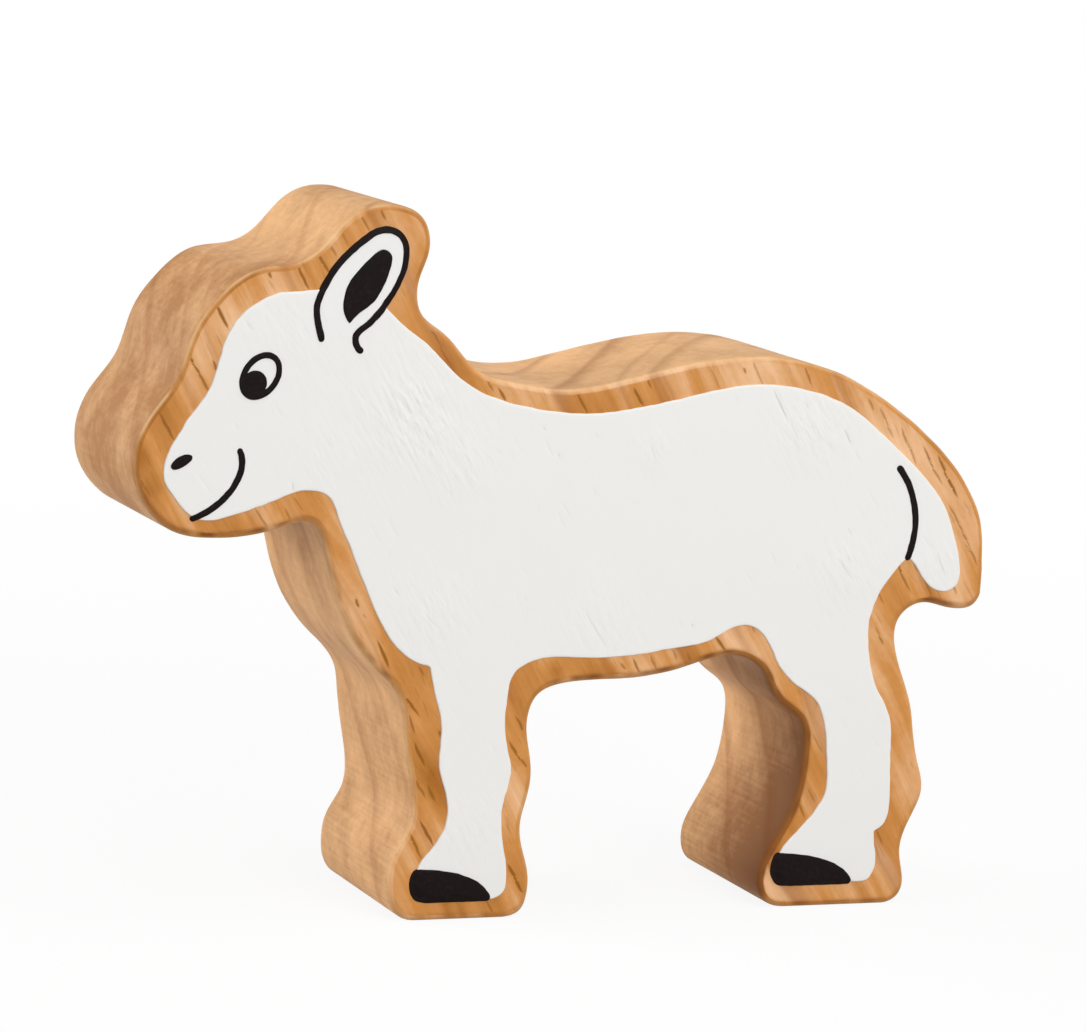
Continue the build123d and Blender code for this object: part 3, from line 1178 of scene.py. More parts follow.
@dataclass
class WhiteCoat(PaintFilm):
    """The white coat of one face, with its soft edge and the grain that shows through.

    Attributes:
        wave_height: half the depth of the brush's swell.
        level_edge: how far from the edge the swell has grown to its full depth.
        sink: how deep the coat sinks over a strong pore.
        sink_half_width: from the middle of a sunk place to its side.
        sink_margin: least distance of a sunk place from the edge.
        sink_gap: distance that other points keep from it.
        faint_count: how many faint sunk places are drawn over the coat.
        faint_margin: least distance of their middles from the edge.
        faint_strongest: the greatest strength of them.
    """

    slot: Slot = Slot.WHITE
    grid_step: float = 0.5
    ring_insets: tuple[float, ...] = (0.015, 0.04, 0.08, 0.13, 0.35)
    wave_height: float = 0.006
    level_edge: float = 1.5
    sink: float = 0.035
    sink_half_width: float = 0.17
    sink_margin: float = 0.45
    sink_gap: float = 0.2
    faint_count: int = 300
    faint_margin: float = 1.2
    faint_strongest: float = 0.45

    def make(self, coat: CoatEdge, finish: bpy.types.Material) -> bpy.types.Object:
        """Builds and dresses the coat.

        The height is the coat's own rounded step, less a shallow swell of the brush and the
        strokes that sank into pores below.

        Args:
            coat: the coat's outline.
            finish: the white paint.

        Returns:
            The finished piece.
        """
        area = coat.area
        chosen, seed = (FRONT_SUNK, 61) if self.side is Side.FRONT else ((), 62)
        spare = scattered_strokes(
            area, self.faint_count, self.faint_margin, math.inf, self.faint_strongest, seed
        )
        strokes = clear_of(spare, chosen) + chosen
        spindles, strength = spindle_points(strokes, self.sink_half_width, area, self.sink_margin)
        places = self.spread(area)
        fixed = sum(len(loop) for loop in area.loops)
        kept = away_from(places[fixed:], spindles, self.sink_gap)
        places = np.concatenate([places[:fixed], kept, spindles])
        sunk = np.concatenate([np.zeros(fixed + len(kept)), strength])
        inner = smooth_step(area.depth(places) / self.level_edge)
        swell = inner * self.wave_height * (1.0 + self.swell(places))
        top = coat.height(places) - swell - self.sink * sunk
        bottom = np.full(len(places), -self.sunk_depth)
        thin = np.minimum(tinted(places, THIN_PLACES[self.side]), 1.0)
        return self.lay(area, places, (top, bottom), {"sunk": sunk, "thin": thin}, finish)

    def swell(self, places: np.ndarray) -> np.ndarray:
        """Waves about 12 mm long across and 20 mm up, each bent by the other way's sine."""
        across, up = places.T
        return np.sin(across / 1.9 + 1.3 * np.sin(up / 5.3)) * np.sin(
            up / 3.1 + 0.9 * np.sin(across / 7.7)
        )


@dataclass
class BlackMark(PaintFilm):
    """One black mark of a face, which follows the coat and runs down to the wood at its edge.

    Attributes:
        film: its thickness over what lies below.
        ragged: how far its outline wavers on the average.
        overlap: how far it reaches over the coat's edge where it runs along it.
        overlap_softness: spread of the bell that evens the outline there.
    """

    film: float = 0.10
    ragged: float = 0.018
    overlap: float = 0.0
    overlap_softness: float = 0.22

    def make(self, coat: CoatEdge, finish: bpy.types.Material, seed: int) -> bpy.types.Object:
        """Builds and dresses the mark.

        Its outline wavers a little, as a brush's does. Its height is that of what lies below
        plus a film with a rounded edge.

        Args:
            coat: the coat that it lies on.
            finish: the black paint.
            seed: start of the random draw of its waves.

        Returns:
            The finished piece.
        """
        loops = (self.over_edge(loop, coat) for loop in self.loops)
        area = Area(
            tuple(trembled(loop, self.ragged, shortest=0.7, longest=2.5, seed=seed) for loop in loops)
        )
        places = self.spread(area)
        below = coat.buried_height(places)
        film = self.film * rounded_step(area.depth(places) / self.ring_insets[-1])
        return self.lay(area, places, (below + film, below - self.sunk_depth), {}, finish)

    def over_edge(self, loop: np.ndarray, coat: CoatEdge) -> np.ndarray:
        """Moves the outline outwards where it runs along the coat's edge, as a full brush does.

        It moves by the whole overlap where both outlines face the same way and lie within
        twice the overlap of each other, and fades to nothing at twice that gap.

        Args:
            loop: points (x, z) of the outline.
            coat: the coat.

        Returns:
            The moved points, evened out.
        """
        if self.overlap == 0.0:
            return loop
        gap, nearest = coat.area.nearest(loop)
        coat_way = outward(coat.area.loops[0])[nearest]
        facing = smooth_step(2.0 * np.sum(outward(loop) * coat_way, axis=1) - 1.0)
        near = smooth_step(2.0 - np.abs(gap) / (2.0 * self.overlap))
        moved = loop + (self.overlap * facing * near)[:, None] * outward(loop)
        return evened(moved, self.overlap_softness)


@dataclass
class PaintedFace:
    """All the paint of one face: the white coat, and the black marks over it.

    Attributes:
        side: which face.
        half_board: from the middle of the board to its face.
        coat_film: thickness of the white coat.
        mark_film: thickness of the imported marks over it.
        coat_step: distance between the points of the coat's outline.
        mark_step: the same for the marks.
        line_softness: how far the outlines of the fine marks are evened out.
        hoof_softness: the same for the hooves.
        hoof_overlap: how far a hoof's paint reaches over the coat's edge.
        first_seed: start of the random draw of the first mark.
        mark_names: the marks, in the order in which they are painted.
    """

    side: Side
    half_board: float
    coat_film: float = 0.15
    mark_film: float = 0.15
    coat_step: float = 0.3
    mark_step: float = 0.12
    line_softness: float = 0.12
    hoof_softness: float = 0.28
    hoof_overlap: float = 0.2
    first_seed: int = 31
    mark_names: tuple[str, ...] = (
        "ear_line", "ear_inside", "eye", "nostril", "mouth_line", "tail_line", "fore_hoof", "hind_hoof",
    )

    def top_loops(self, node: str, height: float) -> list[np.ndarray]:
        """The edges of a packed film's upper surface, which lies at a height above the wood."""
        level = self.side.value * (self.half_board + height)
        return seen_from_front(flat_loops(node, level, level))

    def make(self, white: bpy.types.Material, black: bpy.types.Material) -> None:
        """Builds the coat and the marks.

        Args:
            white: the paint of the coat.
            black: the paint of the marks.
        """
        prefix = self.side.name.lower()
        coat_node = f"{prefix}_white_coat"
        edge = smooth_loop(self.top_loops(coat_node, self.coat_film)[0], self.coat_step, 0.0)
        edge = trembled(edge, reach=0.03, shortest=1.0, longest=4.0, seed=21)
        coat = CoatEdge(Area((edge,)), self.coat_film)
        WhiteCoat(coat_node, self.side, self.half_board, (edge,)).make(coat, white)
        for number, name in enumerate(self.mark_names):
            node = f"{prefix}_{name}"
            hoof = name.endswith("hoof")
            softness = self.hoof_softness if hoof else self.line_softness
            loops = tuple(
                smooth_loop(loop, self.mark_step, softness)
                for loop in self.top_loops(node, self.coat_film + self.mark_film)
            )
            overlap = self.hoof_overlap if hoof else 0.0
            mark = BlackMark(node, self.side, self.half_board, loops, overlap=overlap)
            mark.make(coat, black, self.first_seed + number)


@dataclass(frozen=True)
class Shell:
    """A share of a mesh, before its shares are put together.

    Attributes:
        points: points (x, y, z) in millimetres.
        triangles: point numbers of the whole mesh, three to a triangle.
        places: for each corner its place on the surface.
        marks: named values, one for each point.
    """

    points: np.ndarray
    triangles: np.ndarray
    places: np.ndarray
    marks: dict[str, np.ndarray]


@dataclass
class WoodenBody:
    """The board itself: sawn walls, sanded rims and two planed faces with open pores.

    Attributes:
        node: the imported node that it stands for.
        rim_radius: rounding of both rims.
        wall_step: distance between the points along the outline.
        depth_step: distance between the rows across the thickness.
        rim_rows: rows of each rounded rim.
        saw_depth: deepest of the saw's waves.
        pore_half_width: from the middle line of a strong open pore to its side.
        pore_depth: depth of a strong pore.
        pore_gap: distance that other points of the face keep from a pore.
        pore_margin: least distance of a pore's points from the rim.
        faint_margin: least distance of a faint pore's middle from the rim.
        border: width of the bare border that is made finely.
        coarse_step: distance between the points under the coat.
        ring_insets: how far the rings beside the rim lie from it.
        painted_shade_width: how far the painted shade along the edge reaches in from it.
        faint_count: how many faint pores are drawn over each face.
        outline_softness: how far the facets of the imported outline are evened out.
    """

    node: str
    rim_radius: float = 0.5
    wall_step: float = 0.33
    depth_step: float = 0.55
    rim_rows: int = 5
    saw_depth: float = 0.05
    pore_half_width: float = 0.31
    pore_depth: float = 0.02
    pore_gap: float = 0.16
    pore_margin: float = 0.06
    faint_margin: float = 0.3
    border: float = 6.0
    coarse_step: float = 2.0
    ring_insets: tuple[float, ...] = (0.15, 0.32, 0.52)
    painted_shade_width: float = 0.22
    faint_count: int = 500
    outline_softness: float = 0.25

    def half_board(self) -> float:
        """From the middle of the board to its face."""
        low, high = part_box(self.node)
        return (high.y - low.y) / 2.0 / MM

    def outline(self) -> np.ndarray:
        """The sawn outline, read where the walls end, and started under the hind foot.

        Three corners are drawn a little fuller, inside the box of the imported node.

        Returns:
            Even points (x, z), counter-clockwise.
        """
        wall_end = self.half_board() - self.rim_radius
        loops = flat_loops(self.node, -wall_end, wall_end)
        front = min(loops, key=lambda loop: float(loop[:, 1].mean()))
        loop = smooth_loop(seen_from_front([front])[0], self.wall_step, self.outline_softness)
        loop = loop + tinted(loop, FULLER_CORNERS)[:, None] * outward(loop)
        low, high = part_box(self.node)
        loop = np.clip(loop, (low.x / MM, 0.0), (high.x / MM, high.z / MM))
        behind_middle = np.where(loop[:, 0] > 0.0, loop[:, 1], np.inf)
        return np.roll(loop, -int(np.argmin(behind_middle)), axis=0)

    def section(self) -> tuple[np.ndarray, np.ndarray, np.ndarray]:
        """The profile that runs round the outline, from the front face to the back face.

        Each rim is a quarter circle, and straight rows lie between them.

        Returns:
            The inset, the Y and the turn of every row: 90 degrees on a face and 0 on the wall.
        """
        half = self.half_board()
        turn = np.linspace(np.pi / 2.0, 0.0, self.rim_rows + 1)
        rim_inset = self.rim_radius * (1.0 - np.cos(turn))
        rim_depth = half - self.rim_radius * (1.0 - np.sin(turn))
        wall_end = half - self.rim_radius
        row_count = int(round(2.0 * wall_end / self.depth_step))
        wall_depth = np.linspace(-wall_end, wall_end, row_count + 1)[1:-1]
        zeros = np.zeros(len(wall_depth))
        inset = np.concatenate([rim_inset, zeros, rim_inset[::-1]])
        depth = np.concatenate([-rim_depth, wall_depth, rim_depth[::-1]])
        turns = np.concatenate([turn, zeros, turn[::-1]])
        return inset, depth, turns

    def inner_hind(self, loop: np.ndarray) -> np.ndarray:
        """How far each point of the outline belongs to the arch and the hind leg's inner side."""
        way = outward(loop)
        behind = smooth_step((loop[:, 0] - 9.0) / 6.0) * smooth_step((31.0 - loop[:, 1]) / 3.0)
        return behind * smooth_step(0.5 - way[:, 0] * 2.0) * smooth_step(loop[:, 1] / 2.0)

    def painted_shade(self, loop: np.ndarray, side: Side) -> np.ndarray:
        """How much painted shade darkens the edge.

        It is most where the edge faces down and round the arch, little at the soles, and
        broken by waves.

        Args:
            loop: the outline.
            side: the face beside the edge.

        Returns:
            A share for each point of the outline.
        """
        way = outward(loop)
        seed = 41 if side is Side.FRONT else 42
        waves = closed_waves(len(loop), loop_length(loop), shortest=1.5, longest=9.0, seed=seed)
        facing = np.clip(-way[:, 1], 0.0, 1.0) * (0.5 + 0.5 * smooth_step(loop[:, 1] / 3.0))
        return np.clip(np.maximum(facing, self.inner_hind(loop)) * (0.6 + 0.25 * waves), 0.0, 1.0)

    def rim_sanding_and_highlight(self, loop: np.ndarray) -> np.ndarray:
        """How far the rim is sanded pale and lit by a painted highlight: a little all round, the
        highlight most where it faces up and ahead, and neither in the shaded arch.
        """
        way = outward(loop)
        waves = closed_waves(len(loop), loop_length(loop), shortest=3.0, longest=14.0, seed=43)
        facing = np.clip(0.6 * way[:, 1] - 0.7 * way[:, 0], 0.0, 1.0)
        share = (0.12 + 0.34 * facing) * np.clip(1.0 + 0.4 * waves, 0.0, 1.5)
        return share * (1.0 - self.inner_hind(loop))

    def wall_tint(self, loop: np.ndarray, depth: np.ndarray) -> np.ndarray:
        """Darkness of the walls beside the mean: at chosen places, and inside the hind leg.

        On the inner hind wall a painted shade darkens it towards the front rim and painted light
        brightens it by the back rim: its darkness grows with the way to the front to the power 1.5.

        Args:
            loop: the outline.
            depth: Y of every row.

        Returns:
            The tint of every row and point.
        """
        arch_shade = self.inner_hind(loop) * (self.forward(depth) ** 1.5 - 0.42)
        return tinted(loop, WALL_TINTS) + arch_shade

    def forward(self, depth: np.ndarray) -> np.ndarray:
        """How far each row lies to the front: 1 at the front face and 0 at the back face."""
        return (0.5 - depth / (2.0 * depth[-1]))[:, None]

    def wall(self, loop: np.ndarray) -> tuple[Shell, np.ndarray]:
        """Carries the section round the outline.

        The saw's waves move each point inwards by a sum of cosines along the outline that
        drifts over the thickness. They fade out at the flat soles.

        Args:
            loop: the outline.

        Returns:
            The walls with both rims, and the rows of points as a grid.
        """
        count = len(loop)
        length = loop_length(loop)
        inset, depth, turns = self.section()
        rows = len(depth)
        normals = outward(loop)
        front_waves, back_waves = (
            closed_waves(count, length, shortest=3.0, longest=14.0, seed=seed) for seed in (11, 12)
        )
        forward = self.forward(depth)
        waves = front_waves * forward + back_waves * (1.0 - forward)
        cut = self.saw_depth * np.clip(0.5 + waves / 4.0, 0.0, 1.0) * smooth_step(loop[:, 1])
        shift = inset[:, None] + cut
        across = loop[:, 0] - shift * normals[:, 0]
        up = loop[:, 1] - shift * normals[:, 1]
        grid = np.stack([across, np.broadcast_to(depth[:, None], across.shape), up], axis=2)
        number = np.arange(rows * count).reshape(rows, count)
        ahead = np.roll(number, -1, axis=1)
        corners = [number[:-1], ahead[:-1], ahead[1:], number[1:]]
        run = np.arange(count + 1) * length / count
        run_grid, depth_grid = np.meshgrid(run, depth)
        spots = np.stack([run_grid, depth_grid], axis=2)
        places = [spots[:-1, :-1], spots[:-1, 1:], spots[1:, 1:], spots[1:, :-1]]
        halves = ((0, 2, 1), (0, 3, 2))
        triangles = [np.stack([corners[k].ravel() for k in half], axis=1) for half in halves]
        spread = [np.stack([places[k].reshape(-1, 2) for k in half], axis=1) for half in halves]
        face_share = np.sin(turns)[:, None] ** 2
        # Painted shade on the rims that face down and round the arch
        in_front, behind = (self.painted_shade(loop, side) for side in Side)
        painted_shade = face_share * np.where((depth < 0.0)[:, None], in_front, behind)
        # Painted shade on the inner hind wall, darkest by the front rim and low down
        low_down = np.exp(-((loop[:, 1] / 9.0) ** 2))
        arch_shade = 0.45 * forward**4 + 0.30 * low_down * forward
        painted_shade = np.maximum(painted_shade, self.inner_hind(loop) * arch_shade)
        marks = {
            "tint": self.wall_tint(loop, depth).ravel(),
            "face": np.repeat(face_share, count),
            "rim": np.tile(self.rim_sanding_and_highlight(loop), rows),
            "painted_shade": painted_shade.ravel(),
            "pore": np.zeros(rows * count),
        }
        shell = Shell(grid.reshape(-1, 3), np.concatenate(triangles), np.concatenate(spread), marks)
        return shell, grid

    def face(self, side: Side, ring: np.ndarray, ring_first: int, inner_first: int) -> Shell:
        """Fills a face inside its ring, finely along the bare border and coarsely elsewhere.

        Every open pore is a groove along the grain.

        Args:
            side: which face.
            ring: the last row of the rim, as points (x, z).
            ring_first: number of the ring's first point in the whole mesh.
            inner_first: number that the first new point gets.

        Returns:
            The face.
        """
        area = Area((ring,))
        # The back face has no listed pores, so its drawn ones may be stronger
        chosen, strongest, seed = (FRONT_PORES, 0.68, 51) if side is Side.FRONT else ((), 1.1, 52)
        spare = scattered_strokes(
            area, self.faint_count, self.faint_margin, self.border, strongest, seed
        )
        pores = clear_of(spare, chosen) + broken(chosen, seed)
        spindles, strength = spindle_points(pores, self.pore_half_width, area, self.pore_margin)
        plain = np.concatenate(
            [
                *(area.ring(inset) for inset in self.ring_insets),
                area.fill(self.wall_step, self.ring_insets[-1] + 0.18, self.border),
                area.fill(self.coarse_step, self.border + 0.6),
            ]
        )
        inner = np.concatenate([away_from(plain, spindles, self.pore_gap), spindles])
        pore = np.concatenate([np.zeros(len(inner) - len(spindles)), strength])
        places = np.concatenate([ring, inner])
        corners = area.triangles(places)
        if side is Side.BACK:
            corners = corners[:, ::-1]
        numbers = np.concatenate(
            [ring_first + np.arange(len(ring)), inner_first + np.arange(len(inner))]
        )
        # Painted shade on the face beside the edges that face down and round the arch
        gap, nearest = area.nearest(inner)
        painted_shade = self.painted_shade(ring, side)[nearest] * np.exp(-((gap / self.painted_shade_width) ** 2))
        height = side.value * (self.half_board() - self.pore_depth * np.clip(pore, 0.0, 1.0))
        marks = {
            "tint": tinted(inner, FACE_TINTS),
            "face": np.ones(len(inner)),
            "rim": np.zeros(len(inner)),
            "painted_shade": painted_shade,
            "pore": pore,
        }
        points = np.stack([inner[:, 0], height, inner[:, 1]], axis=1)
        return Shell(points, numbers[corners], places[corners], marks)

    def make(self, finish: bpy.types.Material) -> bpy.types.Object:
        """Builds and dresses the board from its walls and its two faces.

        Args:
            finish: the varnished wood.

        Returns:
            The finished piece.
        """
        wall, grid = self.wall(self.outline())
        rows, count = grid.shape[:2]
        shells = [wall]
        first = rows * count
        for side, row in ((Side.FRONT, 0), (Side.BACK, rows - 1)):
            shells.append(self.face(side, grid[row][:, [0, 2]], row * count, first))
            first += len(shells[-1].points)
        piece = make_piece(
            f"{self.node}_varnished",
            np.concatenate([shell.points for shell in shells]),
            np.concatenate([shell.triangles for shell in shells]),
            np.concatenate([shell.places for shell in shells]).reshape(-1, 2),
            {mark: np.concatenate([shell.marks[mark] for shell in shells]) for mark in wall.marks},
        )
        settle(piece, finish, self.node)
        return piece


@dataclass(frozen=True)
class PhotoCamera:
    """The photograph's view: from the sheep's front left, a little above, with a long lens.

    Angles are degrees and lengths millimetres. The yaw turns from straight on towards the
    head, and the aim is the point of the front face at the middle of the picture.
    """

    yaw: float = 23.698
    pitch: float = 8.859
    roll: float = 3.922
    distance: float = 449.9
    lens: float = 147.3
    sensor: float = 36.0
    aim: tuple[float, float, float] = (-3.771, -10.0, 41.823)

    def place(self) -> bpy.types.Object:
        """Adds the camera and makes it the scene's own.

        Returns:
            The camera.
        """
        yaw, pitch, roll = (math.radians(angle) for angle in (self.yaw, self.pitch, self.roll))
        ahead = np.array(
            [math.sin(yaw) * math.cos(pitch), math.cos(yaw) * math.cos(pitch), -math.sin(pitch)]
        )
        level = np.array([math.cos(yaw), -math.sin(yaw), 0.0])
        upright = np.cross(level, ahead)
        right = math.cos(roll) * level + math.sin(roll) * upright
        top = math.cos(roll) * upright - math.sin(roll) * level
        data = bpy.data.cameras.new("photo_camera")
        data.sensor_width = self.sensor
        data.lens = self.lens
        data.clip_start = 0.01
        data.clip_end = 50.0
        camera = add_object("photo_camera", data)
        set_place(camera, (right, top, -ahead), (np.array(self.aim) - self.distance * ahead) * MM)
        bpy.context.scene.camera = camera
        return camera


@dataclass(frozen=True)
class SoftLamp:
    """A large soft lamp that looks at the middle of the sheep.

    Attributes:
        name: its name.
        direction: from the sheep to the lamp.
        distance: in metres.
        size: its edge in metres.
        level: how bright it makes a white card that faces it, where 1 is white.
        aim_height: height of the place that it looks at, in millimetres.
    """

    name: str
    direction: tuple[float, float, float]
    distance: float
    size: float
    level: float
    aim_height: float = 36.0

    def place(self) -> bpy.types.Object:
        """Adds the lamp.

        Its power lights a white card to the level: level times the square of pi times the
        distance, for a lamp small against its distance.

        Returns:
            The lamp.
        """
        data = bpy.data.lights.new(self.name, "AREA")
        data.shape = "SQUARE"
        data.size = self.size
        data.energy = self.level * (math.pi * self.distance) ** 2
        lamp = add_object(self.name, data)
        way = np.array(self.direction) / np.linalg.norm(self.direction)
        beside = np.cross([0.0, 0.0, 1.0], way)
        beside /= np.linalg.norm(beside)
        middle = np.array([0.0, 0.0, self.aim_height * MM])
        set_place(lamp, (beside, np.cross(way, beside), way), middle + self.distance * way)
        lamp.visible_camera = False
        return lamp


@dataclass(frozen=True)
class Studio:
    """A white sweep in soft light, as for a catalogue picture.

    Attributes:
        ambient: strength of the even light from all around, where the camera sees 1.
        seen_floor: the floor's colour where its shadow is seen.
        lit_floor: the floor's colour for the light that it sends back.
        floor_reach: from the middle of the floor to its edge, in metres.
        floor_glow: share of plain white in the floor near the feet.
        shadow_reach: up to where that share holds, in metres.
        shadow_end: from where on the floor is plain white, in metres.
        lamps: the lamps.
    """

    ambient: float = 0.25
    seen_floor: str = "F4F4F4"
    lit_floor: str = "C4C4C4"
    floor_reach: float = 4.0
    floor_glow: float = 0.90
    shadow_reach: float = 0.08
    shadow_end: float = 0.30
    lamps: tuple[SoftLamp, ...] = (
        SoftLamp("top_lamp", (0.10, -0.25, 1.0), 0.9, 0.7, 0.40),
        SoftLamp("front_lamp", (0.30, -1.0, 0.45), 1.0, 0.7, 0.62),
        SoftLamp("left_lamp", (-1.0, 0.50, 0.25), 0.9, 0.6, 0.80),
    )

    def build(self) -> None:
        """Sets the view, the world, the floor and the lamps."""
        bpy.context.scene.view_settings.view_transform = "Standard"
        self.world()
        self.floor()
        for lamp in self.lamps:
            lamp.place()

    def seen(self, tree: Tree) -> Socket:
        """1 for the rays that show a thing or mirror it, and 0 for those that carry light."""
        rays = add_node(tree, "LightPath").node.outputs
        share = rays["Is Camera Ray"]
        for kind in ("Is Glossy Ray", "Is Transmission Ray"):
            share = add_node(tree, "Math", {0: share, 1: rays[kind]}, operation="MAXIMUM")
        return share

    def world(self) -> None:
        """White to the camera and to reflections, and a softer grey that lights the sheep."""
        world = bpy.data.worlds.new("white_sweep")
        bpy.context.scene.world = world
        world.use_nodes = True
        tree = world.node_tree
        tree.nodes.clear()
        seen = self.seen(tree)
        soft, bright = (
            add_node(tree, "Background", {"Color": grey(1.0), "Strength": strength})
            for strength in (self.ambient, 1.0)
        )
        shown = add_node(tree, "MixShader", {0: seen, 1: soft, 2: bright})
        add_node(tree, "OutputWorld", {"Surface": shown})

    def floor(self) -> None:
        """A wide pale floor under the feet.

        To the camera and to reflections it glows white, and near the feet a little less, so
        that the soft shadow shows there. The light that it sends back is that of a grey card.
        """
        corners = np.array([[-1.0, -1.0, 0.0], [1.0, -1.0, 0.0], [1.0, 1.0, 0.0], [-1.0, 1.0, 0.0]])
        mesh = bpy.data.meshes.new("studio_floor")
        mesh.from_pydata((corners * self.floor_reach).tolist(), [], [[0, 1, 2, 3]])
        floor = add_object("studio_floor", mesh)
        material, tree = new_material("white_card")
        white_card, grey_card = (
            add_node(tree, "BsdfDiffuse", {"Color": linear(colour)})
            for colour in (self.seen_floor, self.lit_floor)
        )
        glow = add_node(tree, "Emission", {"Color": grey(1.0), "Strength": 1.0})
        place = add_node(tree, "TexCoord", output="Object")
        shadowed = {
            "Value": add_node(tree, "VectorMath", {0: place}, "Value", operation="LENGTH"),
            "From Min": self.shadow_reach,
            "From Max": self.shadow_end,
            "To Min": self.floor_glow,
        }
        share = add_node(tree, "MapRange", shadowed, interpolation_type="SMOOTHSTEP")
        bright = add_node(tree, "MixShader", {0: share, 1: white_card, 2: glow})
        shown = add_node(tree, "MixShader", {0: self.seen(tree), 1: grey_card, 2: bright})
        add_node(tree, "OutputMaterial", {"Surface": shown})
        mesh.materials.append(material)


# Open pores that show on the front face's bare border
FRONT_PORES = tuple(
    Stroke(*row)
    for row in (
        (-31.1, 65.5, 2.0), (-34.6, 65.7, 0.7, 0.8), (-39.3, 61.6, 1.9),
        (-41.5, 56.1, 3.8, 0.8), (-39.7, 56.7, 0.8), (-44.3, 50.7, 2.5),
        (-46.6, 45.2, 3.2, 0.7), (-34.0, 41.6, 1.9, 0.7), (-30.2, 43.0, 1.3, 0.4),
        (-29.1, 67.0, 2.0), (-28.2, 68.4, 1.5, 0.7), (-27.1, 69.7, 2.0, 0.4),
        (-24.9, 32.9, 0.9), (-23.3, 33.0, 0.7, 0.8), (-20.1, 27.7, 2.2),
        (-20.7, 26.8, 2.1, 0.4), (-17.1, 22.8, 2.9), (-16.6, 20.6, 1.6, 0.7),
        (-15.6, 17.4, 2.2), (-15.3, 13.8, 1.7, 0.7), (-14.0, 13.3, 1.6), (-14.2, 9.2, 1.9),
        (-15.4, 8.0, 2.9), (-13.5, 19.4, 0.7), (-12.7, 14.0, 1.0), (-4.6, 16.9, 3.3, 0.8, 41.0),
        (-4.5, 20.0, 1.7, 0.9), (-4.1, 4.1, 3.0), (-6.8, 1.3, 1.4, 0.7), (7.8, 26.2, 1.4, 0.8),
        (9.8, 26.5, 1.3, 0.7), (13.9, 26.8, 1.0, 0.7), (17.3, 28.4, 1.3),
        (28.1, 10.6, 2.0, 0.7), (29.4, 17.7, 2.0, 0.5), (27.6, 19.4, 1.3, 0.9),
        (14.5, 56.1, 2.0, 0.4), (17.7, 57.0, 0.6, 0.8), (19.2, 56.8, 2.7, 0.5),
        (25.0, 56.6, 1.5, 0.6), (32.6, 53.6, 1.1, 0.7), (34.6, 51.7, 3.0, 0.6),
        (37.4, 49.3, 3.6, 0.6), (40.4, 47.3, 3.8, 0.7), (42.2, 46.2, 4.5),
        (44.9, 39.7, 6.7, 0.7), (37.5, 36.2, 0.7), (38.1, 35.1, 2.6, 0.7),
        (41.1, 34.3, 2.0, 0.7), (-10.5, 55.1, 1.1, 0.7), (-9.1, 54.2, 1.0), (-0.3, 53.4, 2.1),
        (5.9, 54.1, 1.9), (-16.1, 58.8, 4.8, 0.6),
    )
)

# Where the coat is thin and shows the grain
THIN_PLACES = {
    Side.FRONT: (
        Tint(-19.0, 52.0, 5.5, 0.9), Tint(-13.0, 47.0, 3.5, 0.6), Tint(26.0, 51.0, 4.5, 0.8),
        Tint(31.0, 36.0, 3.5, 0.8), Tint(-15.0, 32.0, 4.0, 0.6), Tint(3.0, 31.0, 4.0, 0.5),
        Tint(8.0, 49.0, 2.5, 0.6), Tint(42.0, 37.0, 2.5, 0.6), Tint(-10.0, 10.0, 3.5, 0.5),
        Tint(-31.0, 60.0, 4.0, 0.4), Tint(-28.0, 47.0, 3.0, 0.4),
    ),
    Side.BACK: (
        Tint(-10.0, 46.0, 7.0, 0.9), Tint(-33.0, 56.0, 5.0, 0.5), Tint(18.0, 48.0, 6.0, 0.8),
        Tint(30.0, 33.0, 6.0, 0.7), Tint(2.0, 34.0, 4.0, 0.6), Tint(34.0, 12.0, 4.0, 0.6),
    ),
}

# Where the board's corners stand out a little further than the spline of its outline
FULLER_CORNERS = (
    Tint(-3.5, 1.0, 1.5, 0.45), Tint(40.0, 0.9, 1.6, 0.40), Tint(47.3, 34.6, 1.5, 0.22),
)

# Where the faces are darker (above zero) or lighter than the rest of the wood
FACE_TINTS = tuple(
    Tint(*row)
    for row in (
        (-4.0, 12.0, 5.0, -0.20), (40.0, 49.0, 9.0, -0.40), (45.0, 38.0, 5.0, -0.26),
        (20.0, 57.0, 7.0, -0.24), (33.0, 0.0, 9.0, -0.20), (28.0, 20.0, 6.0, -0.07),
        (0.0, 55.0, 12.0, -0.02), (-35.0, 62.0, 7.0, -0.26), (-21.0, 28.0, 6.0, 0.08),
        (-44.0, 45.0, 6.0, 0.04), (-32.0, 42.0, 6.0, 0.10), (-15.0, 16.0, 6.0, 0.16),
        (-12.0, 2.0, 6.0, 0.18), (36.0, 18.0, 6.0, 0.04), (-1.1, 25.7, 1.2, 0.40),
        (2.7, 25.1, 2.0, 0.26), (5.5, 25.2, 1.6, 0.26), (-46.8, 47.6, 1.2, 0.25),
        (-45.5, 44.4, 1.3, 0.25),
    )
)
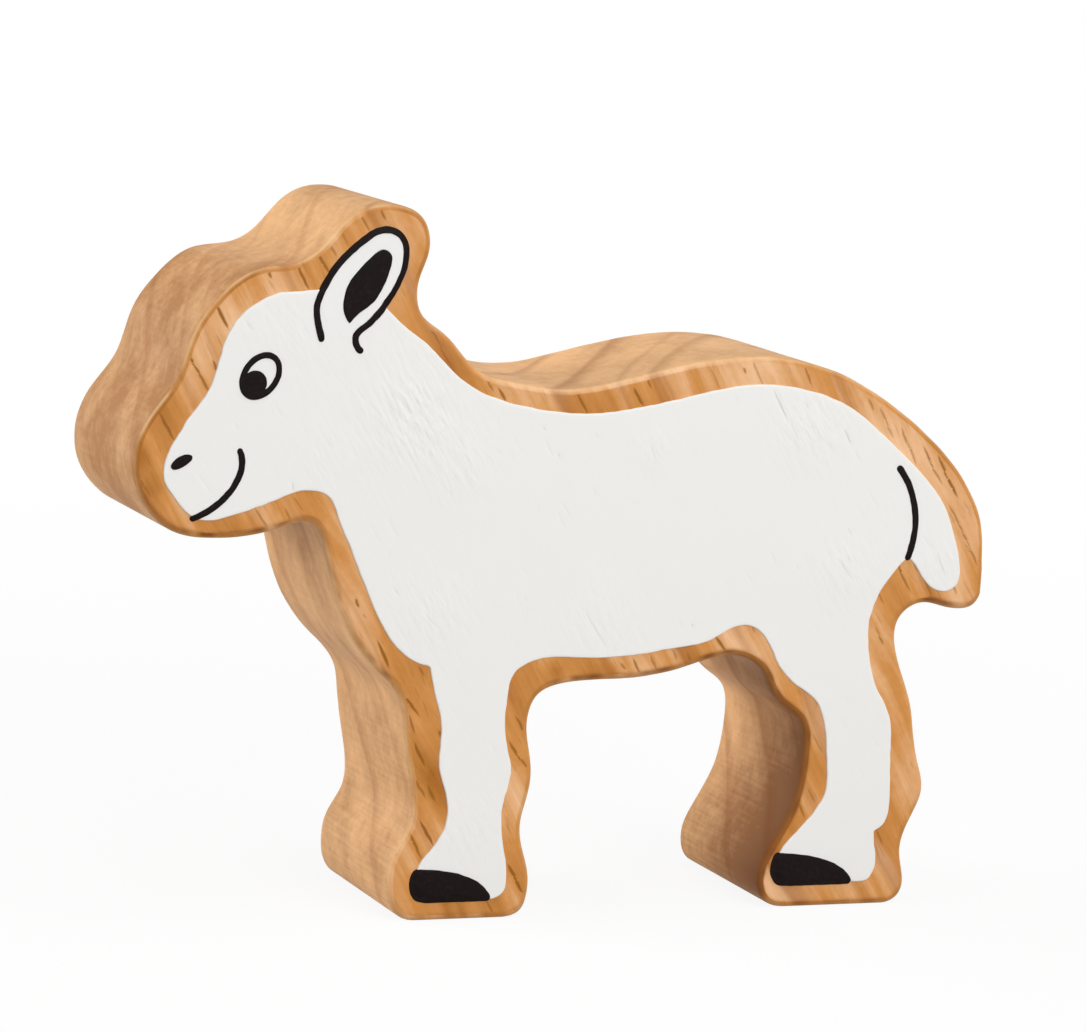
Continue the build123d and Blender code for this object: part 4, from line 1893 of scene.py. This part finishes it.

# The same for the sawn walls; the dark ones at the top of the ear and low on the inner hind leg are
# painted shade, the rest the wood's own tone
WALL_TINTS = tuple(
    Tint(*row)
    for row in (
        (-38.0, 62.0, 12.0, 0.30), (-47.0, 46.0, 9.0, 0.32), (-28.0, 69.0, 5.0, -0.36),
        (-18.5, 73.0, 5.0, 0.50), (5.0, 55.0, 16.0, -0.36), (-20.0, 24.0, 6.0, 0.05),
        (-18.0, 12.0, 7.0, -0.08), (-16.0, 3.0, 6.0, -0.08), (24.0, 4.0, 8.0, 0.38),
    )
)

# Pores of the front face that show through the white coat
FRONT_SUNK = tuple(
    Stroke(*row)
    for row in (
        (22.0, 53.5, 4.0), (23.9, 50.7, 2.8, 0.7), (30.1, 50.2, 2.0, 1.0),
        (31.3, 48.4, 1.4, 0.5), (25.1, 53.4, 1.0, 0.6), (42.3, 36.8, 3.2, 0.7, 25.0),
        (31.0, 36.3, 2.9, 0.7, 40.0), (31.2, 40.2, 1.1, 0.6), (8.0, 48.4, 1.8, 0.5, 26.0),
        (-2.5, 48.1, 0.6, 0.8), (13.8, 30.4, 0.7, 0.8), (-4.3, 50.8, 0.6, 0.7),
        (2.9, 30.1, 5.1, 0.6, 35.0), (-21.0, 52.8, 1.7, 0.6, 38.0),
        (-19.6, 52.9, 1.6, 0.5, 36.0), (-24.4, 54.1, 1.7, 0.4, 36.0),
        (-30.9, 44.7, 1.2, 0.8, 9.0), (-36.5, 60.7, 1.5, 0.6, 36.0),
        (-19.2, 34.1, 1.2, 0.6, 45.0), (-15.4, 31.3, 2.3, 0.5, 42.0),
        (-16.6, 48.0, 1.0, 0.5, 36.0), (13.9, 54.4, 0.7, 0.6),
    )
)


def main() -> None:
    """Builds the sheep and its studio, and reports each piece."""
    logging.basicConfig(level=logging.INFO, format="%(name)s: %(message)s")
    wood = VarnishedRubberwood().material()
    white = BrushedWhitePaint().material()
    black = BrushedBlackPaint().material()
    board = WoodenBody("wooden_body")
    half_board = board.half_board()
    board.make(wood)
    for side in Side:
        PaintedFace(side, half_board).make(white, black)
    PhotoCamera().place()
    Studio().build()


if __name__ == "__main__":
    main()
